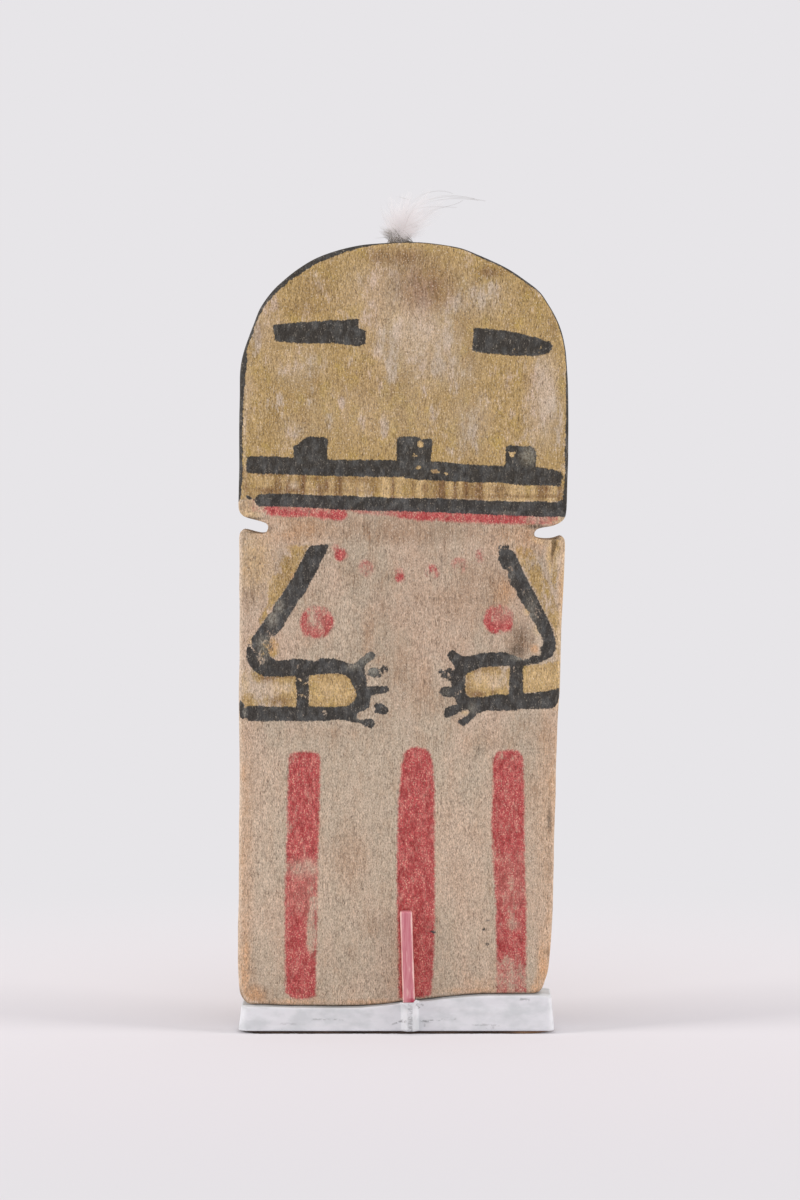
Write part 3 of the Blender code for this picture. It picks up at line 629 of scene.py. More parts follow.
OCHRE = Coat(
    shapes=(
        Patch(((-43.0, 134.0), (-43.0, 200.0), (43.0, 200.0), (43.0, 133.0), (39.6, 133.4), (0.0, 134.4),
               (-30.0, 135.0), (-37.0, 134.2)), 0.76),
        Patch(((-23.6, 90.6), (-15.8, 90.8), (-13.0, 90.2), (-11.2, 87.6), (-11.0, 85.0), (-12.0, 82.4),
               (-14.5, 81.4), (-23.6, 81.8)), 0.95),
        Patch(((-34.0, 90.4), (-26.2, 90.4), (-26.2, 81.6), (-40.6, 81.8), (-40.6, 90.6), (-37.6, 92.4)), 0.5),
        Patch(((-30.6, 90.2), (-26.2, 90.2), (-26.2, 81.8), (-29.6, 81.8)), 0.88),
        Patch(((29.0, 92.8), (33.4, 92.6), (39.2, 93.8), (39.2, 86.4), (34.2, 85.6), (29.0, 85.4)), 0.97),
        Patch(((16.6, 92.4), (26.8, 92.4), (26.8, 84.6), (21.8, 84.4), (17.0, 83.6), (15.0, 86.1), (14.8, 90.0)), 0.66),
        Patch(((-29.8, 122.4), (-23.4, 122.6), (-24.6, 119.8), (-27.3, 114.7), (-30.2, 110.1), (-32.4, 107.4),
               (-35.4, 102.4), (-36.0, 103.6), (-33.6, 108.4), (-33.8, 113.4), (-31.2, 115.6), (-30.4, 118.8)), 0.62),
        Patch(((28.0, 122.4), (32.0, 121.8), (34.8, 116.0), (37.5, 110.0), (39.2, 104.0), (39.0, 95.0),
               (38.4, 95.4), (37.6, 101.0), (33.0, 110.6), (28.6, 119.6)), 0.52),
        Patch(((-35.4, 94.6), (-31.4, 94.6), (-30.8, 97.4), (-32.4, 99.6), (-35.2, 98.6)), 0.5),
        Patch(((37.1, 124.0), (39.0, 124.0), (38.7, 117.0), (38.1, 112.0), (37.5, 112.0)), 0.95),
    ),
    fades=(
        Dab((-3.0, 187.5), (9.0, 6.0), 0.25),
        Dab((9.0, 184.5), (9.0, 6.0), 0.27),
        Dab((5.0, 174.0), (9.0, 7.0), 0.18),
        Dab((-5.0, 173.0), (5.0, 6.0), 0.21),
        Dab((-28.5, 167.5), (3.6, 4.2), 0.16),
        Dab((-22.0, 166.0), (2.0, 5.0), 0.21),
        Dab((-17.0, 185.0), (3.0, 3.0), 0.19),
        Dab((-33.5, 183.0), (3.0, 4.0), 0.32),
        Dab((-37.0, 174.0), (2.2, 6.0), 0.36),
        Dab((21.0, 185.0), (5.0, 4.0), 0.21),
        Dab((28.0, 183.0), (1.6, 2.0), 0.24),
        Dab((10.0, 167.0), (8.0, 3.6), 0.24),
        Dab((22.0, 166.5), (2.4, 2.6), 0.24),
        Dab((34.5, 161.0), (4.0, 10.0), 0.37),
        Dab((38.4, 152.0), (1.6, 9.0), 0.24),
        Dab((17.0, 153.0), (4.6, 8.0), 0.27),
        Dab((-4.6, 152.5), (1.4, 4.2), 0.34),
        Dab((-10.6, 152.5), (1.4, 2.6), 0.32),
        Dab((-18.4, 153.5), (1.4, 2.6), 0.32),
        Dab((-26.6, 151.5), (3.6, 3.0), 0.22),
        Dab((-27.0, 157.5), (1.6, 2.0), 0.24),
        Dab((-15.4, 158.0), (1.0, 2.4), 0.32),
        Dab((-2.6, 167.5), (2.0, 4.6), 0.26),
        Dab((4.0, 166.5), (1.8, 3.0), 0.27),
        Dab((8.6, 167.0), (2.4, 2.6), 0.26),
        Dab((12.6, 161.6), (1.4, 3.6), 0.27),
        Dab((5.0, 160.6), (1.2, 2.0), 0.26),
        Dab((8.0, 156.6), (1.8, 2.8), 0.26),
        Dab((7.0, 152.0), (1.5, 3.4), 0.27),
        Dab((-8.6, 166.0), (1.4, 3.2), 0.22),
        Dab((-23.0, 160.0), (1.2, 2.8), 0.24),
        Dab((-33.6, 168.0), (1.6, 3.0), 0.21),
        Dab((26.6, 163.0), (1.4, 3.4), 0.24),
        Dab((30.4, 153.0), (1.4, 3.0), 0.24),
        Dab((11.0, 176.0), (2.2, 4.0), 0.24),
        Dab((-8.0, 180.0), (2.4, 4.0), 0.24),
        Dab((-33.0, 86.5), (4.6, 2.4), 0.35),
        Dab((-18.0, 85.6), (3.0, 2.0), 0.2),
        Dab((22.0, 88.6), (4.4, 2.4), 0.3),
    ),
    thins=(
        Dab((0.0, 185.0), (16.0, 11.0), 0.55),
        Dab((4.0, 173.0), (15.0, 12.0), 0.5),
        Dab((20.0, 184.0), (8.0, 6.0), 0.4),
        Dab((-34.0, 178.0), (4.0, 9.0), 0.35),
        Dab((-38.4, 162.0), (1.4, 9.0), 0.4),
        Dab((-26.0, 167.0), (8.0, 6.0), 0.35),
        Dab((12.0, 166.0), (9.0, 5.0), 0.3),
        Dab((35.0, 158.0), (5.0, 14.0), 0.6),
        Dab((17.0, 153.0), (6.0, 9.0), 0.45),
        Dab((-8.0, 156.0), (22.0, 9.0), 0.25),
        Dab((-27.0, 151.5), (6.0, 4.0), 0.25),
    ),
)

# Soft stains and worn places, laid over each other, with two broad dabs of painted shade and light: (centre), (half
# sizes), strength.
STAINS: dict[Tone, tuple[Dab, ...]] = {
    Tone.BARE: (
        Dab((20.0, 111.0), (9.0, 10.0), 0.4),
        Dab((0.0, 127.0), (34.0, 4.0), 0.4),
        Dab((36.8, 55.0), (2.6, 30.0), 0.5),
        Dab((-38.6, 40.0), (2.0, 30.0), 0.3),
        Dab((6.0, 187.0), (7.0, 6.0), 1.0),
        Dab((9.5, 184.0), (3.6, 3.6), 0.3),
        Dab((-26.0, 127.0), (8.0, 3.6), 0.9),
        Dab((-37.0, 118.0), (3.6, 10.0), 0.7),
        Dab((31.5, 122.5), (3.6, 5.0), 0.5),
        Dab((24.2, 111.8), (4.2, 5.4), 0.85),
        Dab((29.0, 98.5), (4.0, 4.5), 0.75),
        Dab((33.0, 62.0), (4.0, 7.0), 0.55),
        Dab((34.0, 76.0), (4.0, 5.0), 0.5),
        Dab((-8.5, 101.0), (2.2, 7.0), 0.8),
        Dab((0.0, 91.0), (5.0, 9.0), 0.5),
        Dab((5.6, 90.0), (2.0, 4.6), 0.7),
        Dab((-3.0, 125.0), (9.0, 2.2), 0.45),
        Dab((6.0, 84.0), (5.0, 5.0), 0.55),
        Dab((-13.0, 44.5), (5.5, 8.5), 0.9),
        Dab((-36.5, 62.0), (3.0, 12.0), 0.3),
        Dab((-7.0, 30.0), (4.0, 5.0), 0.35),
        Dab((34.5, 45.0), (3.0, 24.0), 0.5),
        Dab((23.0, 74.0), (8.0, 2.6), 0.5),
        Dab((-20.0, 76.0), (10.0, 2.2), 0.3),
        Dab((12.5, 108.0), (4.0, 6.0), 0.4),
        Dab((28.0, 125.0), (5.0, 3.0), 0.6),
    ),
    Tone.CREAM: (
        Dab((-38.4, 130.8), (3.6, 4.6), 0.7),
        Dab((-37.0, 118.5), (6.0, 9.0), 0.55),
        Dab((36.7, 119.0), (0.6, 5.0), 1.0),
        Dab((38.6, 128.6), (3.0, 1.4), 0.6),
        Dab((40.4, 112.0), (1.6, 14.0), 0.7),
        Dab((-33.5, 139.3), (1.3, 0.8), 0.95),
        Dab((-29.2, 137.8), (1.0, 2.2), 0.95),
        Dab((-23.5, 138.0), (1.3, 1.3), 0.85),
        Dab((-17.4, 137.4), (0.55, 2.4), 0.95),
        Dab((-11.0, 137.4), (3.6, 1.8), 0.5),
        Dab((-4.0, 137.5), (1.9, 2.2), 0.8),
        Dab((-17.0, 135.6), (6.5, 0.5), 0.7),
        Dab((13.0, 136.6), (1.4, 1.9), 0.6),
        Dab((29.0, 136.2), (2.4, 1.5), 0.95),
        Dab((31.0, 134.1), (8.0, 0.45), 0.7),
        Dab((4.0, 146.2), (2.8, 3.2), 0.95),
        Dab((8.4, 141.0), (3.0, 1.6), 0.95),
        Dab((27.1, 145.3), (1.8, 1.6), 0.95),
        Dab((-25.2, 87.2), (1.6, 3.4), 0.95),
        Dab((-32.6, 113.6), (1.4, 2.6), 0.35),
        Dab((-18.0, 86.2), (7.0, 4.0), 0.85),
        Dab((-30.0, 86.8), (5.0, 2.6), 0.5),
        Dab((34.0, 89.4), (6.0, 4.0), 0.95),
        Dab((21.0, 88.4), (6.0, 3.4), 0.75),
        Dab((31.0, 106.4), (1.0, 1.6), 0.9),
        Dab((29.6, 118.6), (0.8, 1.6), 0.7),
        Dab((34.0, 101.6), (1.4, 2.0), 0.6),
        Dab((15.4, 80.7), (1.2, 0.6), 0.8),
        Dab((38.6, 100.0), (0.9, 10.0), 0.4),
        Dab((36.2, 120.0), (0.7, 4.0), 0.7),
        Dab((-37.6, 98.6), (1.2, 1.6), 0.6),
        Dab((-39.4, 88.0), (1.2, 3.4), 0.5),
    ),
    Tone.UMBER: (
        Dab((-20.0, 136.0), (20.0, 0.8), 0.5),
        Dab((20.0, 134.7), (20.0, 0.8), 0.4),
        Dab((-22.0, 141.2), (18.0, 0.9), 0.5),
        Dab((-20.0, 138.4), (20.0, 2.4), 0.3),
        # Painted shade: a broad darkening of the chest that evens out the lamps, which light the top more.
        Dab((0.0, 110.0), (44.0, 22.0), 0.13),
        Dab((0.0, 127.0), (34.0, 4.0), 0.2),
        Dab((20.0, 136.6), (20.0, 2.2), 0.25),
        Dab((-30.0, 118.0), (3.0, 6.0), 0.3),
        Dab((-33.5, 136.2), (3.4, 1.1), 0.95),
        Dab((-26.8, 136.5), (1.7, 0.9), 0.95),
        Dab((-19.3, 137.6), (1.3, 2.0), 0.95),
        Dab((-21.3, 139.3), (1.4, 0.8), 0.85),
        Dab((-12.0, 139.0), (5.0, 0.7), 0.5),
        Dab((5.5, 137.0), (0.9, 2.0), 0.85),
        Dab((9.7, 136.8), (1.1, 2.0), 0.9),
        Dab((16.6, 136.6), (2.2, 1.9), 0.6),
        Dab((24.0, 136.4), (2.6, 1.7), 0.65),
        Dab((35.3, 136.6), (1.9, 1.6), 1.0),
        Dab((26.0, 134.7), (14.0, 0.55), 0.55),
        Dab((36.0, 134.8), (3.6, 0.6), 0.9),
        Dab((-33.0, 140.3), (6.5, 0.6), 0.7),
        Dab((18.0, 91.3), (1.8, 0.9), 0.6),
        Dab((18.9, 85.3), (1.7, 0.9), 0.9),
        Dab((22.6, 85.9), (1.6, 0.6), 0.6),
        Dab((16.3, 87.5), (1.0, 2.6), 0.4),
        Dab((-34.0, 89.4), (2.4, 1.5), 0.85),
        Dab((-30.0, 90.0), (6.0, 0.8), 0.6),
        Dab((-30.4, 83.6), (3.2, 1.5), 0.6),
        Dab((-39.5, 108.0), (1.6, 5.0), 0.3),
        Dab((-37.4, 110.6), (1.2, 2.0), 0.4),
        Dab((-2.0, 194.5), (9.0, 2.4), 0.75),
        Dab((5.0, 187.6), (10.0, 7.5), 0.55),
        Dab((-22.0, 186.5), (6.0, 4.0), 0.3),
        Dab((21.5, 190.5), (4.0, 1.8), 0.7),
        Dab((31.0, 186.5), (3.2, 2.2), 0.35),
        Dab((37.5, 177.5), (1.4, 3.4), 0.45),
        Dab((31.5, 164.0), (5.0, 2.0), 0.25),
        Dab((-36.0, 175.5), (1.5, 4.0), 0.35),
        Dab((-24.0, 181.5), (8.0, 2.4), 0.35),
        Dab((31.6, 127.8), (1.3, 0.6), 0.9),
        Dab((-39.2, 137.0), (0.5, 2.0), 0.8),
        Dab((-37.4, 9.8), (3.8, 2.8), 0.85),
        Dab((17.6, 85.4), (3.0, 1.0), 0.45),
        Dab((21.0, 91.8), (5.0, 0.8), 0.4),
        Dab((-9.0, 163.0), (10.0, 5.0), 0.16),
    ),
    Tone.RUST: (
        Dab((-39.6, 45.0), (2.4, 40.0), 0.35),
        Dab((36.4, 55.0), (3.2, 30.0), 0.35),
        Dab((-27.0, 126.0), (10.0, 4.4), 0.35),
        Dab((30.0, 124.0), (9.0, 5.0), 0.3),
        Dab((-37.4, 9.6), (3.4, 2.8), 0.8),
        Dab((-39.4, 19.0), (1.2, 11.0), 0.75),
        Dab((-40.4, 44.0), (1.1, 5.0), 0.4),
        Dab((-40.2, 66.0), (1.0, 3.5), 0.4),
        Dab((35.2, 17.5), (1.9, 8.5), 1.0),
        Dab((36.4, 30.0), (1.0, 5.0), 0.5),
        Dab((37.4, 60.0), (0.9, 8.0), 0.5),
        Dab((32.9, 96.6), (1.3, 1.4), 0.85),
        Dab((-32.6, 97.2), (1.4, 2.2), 0.6),
        Dab((-27.0, 114.6), (1.4, 1.2), 0.5),
        Dab((25.6, 110.6), (3.0, 3.8), 0.4),
        Dab((-27.0, 8.0), (9.0, 0.9), 0.5),
        Dab((-8.0, 7.9), (9.0, 0.9), 0.6),
        Dab((18.0, 10.8), (10.0, 0.9), 0.45),
        Dab((20.0, 12.5), (6.0, 2.0), 0.25),
        Dab((39.4, 113.0), (0.9, 9.0), 0.4),
    ),
    Tone.GRIME_AND_SHADE: (
        Dab((28.6, 95.8), (2.4, 2.4), 0.5),
        Dab((36.7, 53.5), (0.55, 5.0), 0.95),
        Dab((37.0, 43.0), (0.4, 4.0), 0.5),
        Dab((36.4, 20.5), (0.5, 2.2), 0.6),
        Dab((29.4, 99.6), (3.0, 4.4), 0.52),
        Dab((27.8, 96.2), (2.6, 1.4), 0.5),
        Dab((-33.5, 126.6), (0.9, 1.2), 0.7),
        Dab((33.0, 127.2), (3.2, 0.55), 0.9),
        Dab((37.4, 124.3), (2.6, 0.45), 0.95),
        Dab((32.9, 125.2), (0.6, 0.9), 0.5),
        Dab((-37.5, 129.3), (3.4, 0.45), 0.85),
        Dab((-37.5, 125.8), (3.4, 0.35), 0.75),
        Dab((19.2, 71.6), (2.2, 1.4), 0.22),
        Dab((9.6, 118.4), (0.3, 3.4), 0.6),
        Dab((16.8, 109.0), (0.3, 1.4), 0.6),
        Dab((22.2, 99.0), (0.3, 2.2), 0.5),
        Dab((9.3, 124.4), (0.35, 0.5), 0.9),
        Dab((22.1, 124.9), (0.3, 0.5), 0.9),
        Dab((17.5, 125.0), (0.3, 0.4), 0.8),
    ),
    Tone.PALE: (
        # Painted light: a broad lightening of the legs that evens out the lamps, which light the legs less.
        Dab((0.0, 42.0), (60.0, 40.0), 0.3),
        Dab((-36.0, 44.0), (5.0, 36.0), 0.4),
        Dab((35.0, 46.0), (4.0, 36.0), 0.4),
        Dab((35.6, 162.0), (3.0, 10.0), 0.6),
        Dab((-15.0, 105.0), (5.0, 9.0), 0.35),
        Dab((-31.0, 127.0), (3.0, 1.6), 0.6),
        Dab((-35.0, 86.5), (4.0, 2.4), 0.5),
        Dab((-29.0, 87.0), (1.6, 1.6), 0.7),
        Dab((23.0, 88.2), (3.0, 1.8), 0.35),
        Dab((5.0, 175.0), (9.0, 6.0), 0.4),
        Dab((34.2, 98.5), (0.9, 2.6), 0.8),
        Dab((-22.0, 42.5), (3.0, 2.0), 0.6),
        Dab((-27.0, 137.5), (0.9, 1.2), 0.8),
        Dab((-37.6, 97.0), (1.2, 1.2), 1.0),
        Dab((38.8, 118.4), (1.2, 3.4), 0.7),
        Dab((-39.4, 152.0), (0.35, 14.0), 0.8),
        Dab((-36.0, 132.4), (2.2, 1.8), 0.5),
    ),
}


@dataclass(frozen=True)
class Pattern:
    """A fractal noise at its real size: the size of its features along x, y and z, in mm."""

    size: tuple[float, float, float]
    detail: float = 2.0
    roughness: float = 0.5
    shift: float = 0.0


def patterns(tree: bpy.types.NodeTree, wanted: dict[str, Pattern]) -> dict[str, bpy.types.NodeSocket]:
    """Add each pattern's noise to a tree, on Object coordinates at its real size.

    Args:
        tree: the material's node tree.
        wanted: the patterns by name.

    Returns:
        The noises' value sockets by name, each about 0.3 to 0.7 around a half.
    """
    place = add(tree, "TexCoord", out="Object")
    sockets = {}
    for name, pattern in wanted.items():
        scale = tuple(1.0 / (size * MM) for size in pattern.size)
        moved = add(tree, "Mapping", {"Vector": place, "Scale": scale, "Location": (pattern.shift,) * 3})
        fine = {"Vector": moved, "Scale": 1.0, "Detail": pattern.detail, "Roughness": pattern.roughness}
        sockets[name] = add(tree, "TexNoise", fine)
    return sockets


def tint(
    tree: bpy.types.NodeTree,
    colour: bpy.types.NodeSocket,
    code: str,
    pattern: bpy.types.NodeSocket,
    rise: tuple[float, float],
    most: float,
    zone: bpy.types.NodeSocket | float = 1.0,
) -> bpy.types.NodeSocket:
    """Lay a tint over a colour where a pattern is high.

    Args:
        tree: the material's node tree.
        colour: the colour below.
        code: the tint's sRGB hex colour.
        pattern: the pattern.
        rise: the pattern's values at which the tint starts and is full.
        most: the tint's share where it is full.
        zone: a further share, which confines it to a part of the surface.

    Returns:
        The tinted colour.
    """
    amount = {"Value": pattern, "From Min": rise[0], "From Max": rise[1], "To Max": most}
    amount = add(tree, "MapRange", amount)
    amount = add(tree, "Math", {0: amount, 1: zone}, operation="MULTIPLY", use_clamp=True)
    return add(tree, "Mix", {0: amount, 6: colour, 7: linear(code)}, 2, data_type="RGBA")


@dataclass(frozen=True)
class Wear:
    """How a coat has worn: its edge's wander and softness in mm, its flaking, and how far it clears."""

    rag: float
    soft: float
    thin: float
    broad: float
    fine: str = "flake"
    wide: str = "flake_wide"
    clear: float = 1.0


@dataclass(frozen=True)
class PaintedCottonwood:
    """Carved cottonwood root, brushed with clay wash and dry earth paints and worn with age.

    The eye gets chalky colour that never shines, fine upright fibres with open pores, and ragged
    edges and worn, half clear places where the paint has let go of the wood.
    """

    wash: str = "C0A893"
    wash_cool: str = "B8A894"
    wash_pale: str = "CCB9A5"
    wash_tan: str = "BB9A7D"
    wood: str = "A68970"
    wood_pale: str = "BC9E84"
    grain_dark: str = "76583F"
    pore: str = "523D2C"
    speck: str = "E4D6C4"
    ochre: str = "A68852"
    ochre_pale: str = "B59966"
    ochre_deep: str = "9A783F"
    ochre_bright: str = "B29546"
    umber: str = "76563A"
    rust: str = "D2A277"
    # Dark stains, which also paint the shade along the foot's edge.
    grime: str = "3F352B"
    pale: str = "CFBAA4"
    cream: str = "CFB182"
    red: str = "B3474B"
    red_deep: str = "98292F"
    red_pale: str = "CB7E76"
    red_speck: str = "DDA893"
    black: str = "343332"
    black_cool: str = "4F5050"
    black_speck: str = "958C7F"
    black_film: str = "7B7D76"
    roughness: float = 0.88
    grain_depth: float = 0.12

    def patterns(self) -> dict[str, Pattern]:
        """Name the patterns, from grit under half a millimetre to clouds; fibres run upright."""
        return {
            "grit": Pattern((0.24, 0.32, 0.5), 1.5, 0.55, 3.0),
            "fibre": Pattern((0.33, 0.45, 1.7), 3.0, 0.6, 37.0),
            "grain": Pattern((0.5, 0.6, 8.0), 3.0, 0.6, 5.0),
            "pores": Pattern((0.22, 0.34, 0.95), 1.0, 0.5, 59.0),
            "specks": Pattern((0.34, 0.4, 0.42), 1.0, 0.5, 11.0),
            "mottle": Pattern((1.0, 1.0, 1.8), 3.0, 0.6, 43.0),
            "dapple": Pattern((1.9, 1.9, 3.0), 3.0, 0.6, 67.0),
            "yolk": Pattern((3.4, 3.4, 5.2), 4.0, 0.6, 71.0),
            "blotch": Pattern((3.4, 3.4, 7.0), 5.0, 0.68, 7.0),
            "cloud": Pattern((10.0, 10.0, 22.0), 4.0, 0.55, 31.0),
            "flake": Pattern((0.5, 0.5, 0.8), 3.0, 0.7, 13.0),
            "flake_wide": Pattern((2.0, 2.0, 4.2), 4.0, 0.66, 17.0),
            "ragged": Pattern((0.5, 0.5, 0.5), 3.0, 0.65, 23.0),
            "wobble": Pattern((2.0, 2.0, 2.0), 2.0, 0.5, 29.0),
        }

    def build(self) -> bpy.types.Material:
        """Build the finish: wood and wash, then each pigment over it, then the grit of it all."""
        material, tree = new_material("painted_cottonwood_finish")
        noise = patterns(tree, self.patterns())
        worn = {tone: add(tree, "Attribute", out="Fac", attribute_name=tone.value) for tone in Tone}
        colour = self._ground(tree, noise, worn)
        colour = self._ochre(tree, noise, colour)
        colour = self._stain(tree, noise, worn, colour)
        colour = self._pits(tree, noise, colour)
        colour = self._red(tree, noise, colour)
        colour, black = self._black(tree, noise, colour)
        colour = self._tone(tree, noise, colour)
        bump = self._bump(tree, noise, black)
        inputs = {"Base Color": colour, "Roughness": self.roughness, "Normal": bump, "Specular IOR Level": 0.2}
        shader = add(tree, "BsdfPrincipled", inputs)
        add(tree, "OutputMaterial", {"Surface": shader})
        return material

    def _ground(self, tree: bpy.types.NodeTree, noise: dict, worn: dict) -> bpy.types.NodeSocket:
        """Cloud the clay wash from cool to tan, then let bare wood and its dark grain show."""
        wash = add(tree, "MapRange", {"Value": noise["cloud"], "From Min": 0.42, "From Max": 0.58})
        wash = add(tree, "Mix", {0: wash, 6: linear(self.wash), 7: linear(self.wash_cool)}, 2, data_type="RGBA")
        wash = tint(tree, wash, self.wash_pale, noise["blotch"], (0.5, 0.66), 0.4)
        wash = tint(tree, wash, self.wash_tan, noise["flake_wide"], (0.5, 0.68), 0.22)
        fresh = add(tree, "MapRange", {"Value": noise["mottle"], "From Min": 0.38, "From Max": 0.62})
        wood = add(tree, "Mix", {0: fresh, 6: linear(self.wood), 7: linear(self.wood_pale)}, 2, data_type="RGBA")
        through = {"Value": noise["blotch"], "From Min": 0.48, "From Max": 0.3, "To Max": 0.4}
        through = add(tree, "MapRange", through)
        patchy = {"Value": noise["flake_wide"], "From Min": 0.35, "From Max": 0.6, "To Min": 0.5}
        patchy = add(tree, "MapRange", patchy)
        shown = {0: worn[Tone.BARE], 1: patchy, 2: through}
        bare = add(tree, "Math", shown, operation="MULTIPLY_ADD", use_clamp=True)
        colour = add(tree, "Mix", {0: bare, 6: wash, 7: wood}, 2, data_type="RGBA")
        zone = add(tree, "MapRange", {"Value": noise["cloud"], "From Min": 0.45, "From Max": 0.65, "To Max": 0.3})
        zone = add(tree, "Math", {0: bare, 1: 1.0, 2: zone}, operation="MULTIPLY_ADD", use_clamp=True)
        colour = tint(tree, colour, self.grain_dark, noise["grain"], (0.5, 0.66), 0.8, zone)
        return tint(tree, colour, self.grain_dark, noise["fibre"], (0.53, 0.68), 0.6, zone)

    def _cover(self, tree: bpy.types.NodeTree, noise: dict, pigment: Pigment, wear: Wear) -> bpy.types.NodeSocket:
        """Work out how much of a pigment covers each point.

        The signed distance to the paint's edge is roughened by noise and turned into a soft
        step. The solidity is then compared with a flaking noise: well above it the paint covers,
        well below it is gone, and between them it is thin.

        Args:
            tree: the material's node tree.
            noise: the pattern sockets.
            pigment: the pigment whose attributes are read.
            wear: how its edge and its body have worn.

        Returns:
            The cover's socket, from 0 to 1.
        """
        edge = add(tree, "Attribute", out="Fac", attribute_name=pigment.value + "_edge")
        body = add(tree, "Attribute", out="Fac", attribute_name=pigment.value + "_body")
        thin = add(tree, "Attribute", out="Fac", attribute_name=pigment.value + "_thin")
        fine = {0: noise["ragged"], 1: 5.0 * wear.rag, 2: -2.5 * wear.rag}
        fine = add(tree, "Math", fine, operation="MULTIPLY_ADD")
        slow = {0: noise["wobble"], 1: 3.0 * wear.rag, 2: -1.5 * wear.rag}
        slow = add(tree, "Math", slow, operation="MULTIPLY_ADD")
        edge = add(tree, "Math", {0: edge, 1: fine}, operation="ADD")
        edge = add(tree, "Math", {0: edge, 1: slow}, operation="ADD")
        step = {"Value": edge, "From Min": -wear.soft, "From Max": wear.soft}
        inside = add(tree, "MapRange", step, interpolation_type="SMOOTHSTEP")
        flaking = {0: wear.broad, 2: noise[wear.fine], 3: noise[wear.wide]}
        flaking = add(tree, "Mix", flaking, 0, data_type="FLOAT")
        loss = add(tree, "MapRange", {"Value": flaking, "From Min": 0.3, "From Max": 0.7})
        left = add(tree, "Math", {0: body, 1: loss}, operation="SUBTRACT")
        kept = {"Value": left, "From Min": -wear.thin, "From Max": wear.thin}
        kept = add(tree, "MapRange", kept, interpolation_type="SMOOTHSTEP")
        solid = add(tree, "Math", {0: thin, 1: -wear.clear, 2: 1.0}, operation="MULTIPLY_ADD")
        kept = add(tree, "Math", {0: kept, 1: solid}, operation="MULTIPLY")
        return add(tree, "Math", {0: inside, 1: kept}, operation="MULTIPLY")

    def _ochre(self, tree: bpy.types.NodeTree, noise: dict, colour: bpy.types.NodeSocket) -> bpy.types.NodeSocket:
        """Brush yellow ochre over the ground, worn off along the fibres, with yellower patches."""
        cover = self._cover(tree, noise, Pigment.OCHRE, Wear(0.5, 0.35, 0.18, 0.68, "fibre", "blotch"))
        streak = add(tree, "MapRange", {"Value": noise["fibre"], "From Min": 0.25, "From Max": 0.75})
        paint = add(tree, "Mix", {0: streak, 6: linear(self.ochre), 7: linear(self.ochre_pale)}, 2, data_type="RGBA")
        paint = tint(tree, paint, self.ochre_deep, noise["cloud"], (0.5, 0.66), 0.55)
        paint = tint(tree, paint, self.ochre_bright, noise["yolk"], (0.53, 0.66), 0.6)
        cover = add(tree, "Math", {0: cover, 1: 0.9}, operation="MULTIPLY")
        return add(tree, "Mix", {0: cover, 6: colour, 7: paint}, 2, data_type="RGBA")

    def _stain(self, tree: bpy.types.NodeTree, noise: dict, worn: dict, colour: bpy.types.NodeSocket):
        """Lay the soft stains: brown glaze streaked by the grain, rust, pale rubs and dark stains, with the painted
        shade and painted highlights that these tones also carry.
        """
        stains = (
            (Tone.CREAM, self.cream, "mottle"),
            (Tone.UMBER, self.umber, "grain"),
            (Tone.RUST, self.rust, "flake_wide"),
            (Tone.PALE, self.pale, "mottle"),
            (Tone.GRIME_AND_SHADE, self.grime, "grain"),
        )
        for tone, code, pattern in stains:
            uneven = {"Value": noise[pattern], "From Min": 0.3, "From Max": 0.6, "To Min": 0.45}
            uneven = add(tree, "MapRange", uneven)
            amount = add(tree, "Math", {0: worn[tone], 1: uneven}, operation="MULTIPLY", use_clamp=True)
            colour = add(tree, "Mix", {0: amount, 6: colour, 7: linear(code)}, 2, data_type="RGBA")
        return colour

    def _pits(self, tree: bpy.types.NodeTree, noise: dict, colour: bpy.types.NodeSocket) -> bpy.types.NodeSocket:
        """Open dark upright pores in the ground and fleck it with crumbs of pale clay."""
        colour = tint(tree, colour, self.pore, noise["pores"], (0.61, 0.69), 0.55)
        return tint(tree, colour, self.speck, noise["specks"], (0.59, 0.71), 0.42)

    def _red(self, tree: bpy.types.NodeTree, noise: dict, colour: bpy.types.NodeSocket) -> bpy.types.NodeSocket:
        """Brush the red: deep where it pooled, pink where it lies thin, with many worn flecks."""
        cover = self._cover(tree, noise, Pigment.RED, Wear(0.28, 0.45, 0.34, 0.6))
        paint = add(tree, "MapRange", {"Value": noise["dapple"], "From Min": 0.46, "From Max": 0.62, "To Max": 0.85})
        paint = add(tree, "Mix", {0: paint, 6: linear(self.red), 7: linear(self.red_deep)}, 2, data_type="RGBA")
        paint = tint(tree, paint, self.red_pale, noise["flake_wide"], (0.5, 0.66), 0.45)
        paint = tint(tree, paint, self.red_pale, noise["mottle"], (0.52, 0.64), 0.5)
        zone = add(tree, "MapRange", {"Value": noise["dapple"], "From Min": 0.58, "From Max": 0.42, "To Min": 0.2})
        paint = tint(tree, paint, self.red_speck, noise["specks"], (0.54, 0.66), 0.85, zone)
        paint = tint(tree, paint, self.red_deep, noise["fibre"], (0.52, 0.68), 0.45)
        cover = add(tree, "Math", {0: cover, 1: 0.94}, operation="MULTIPLY")
        return add(tree, "Mix", {0: cover, 6: colour, 7: paint}, 2, data_type="RGBA")

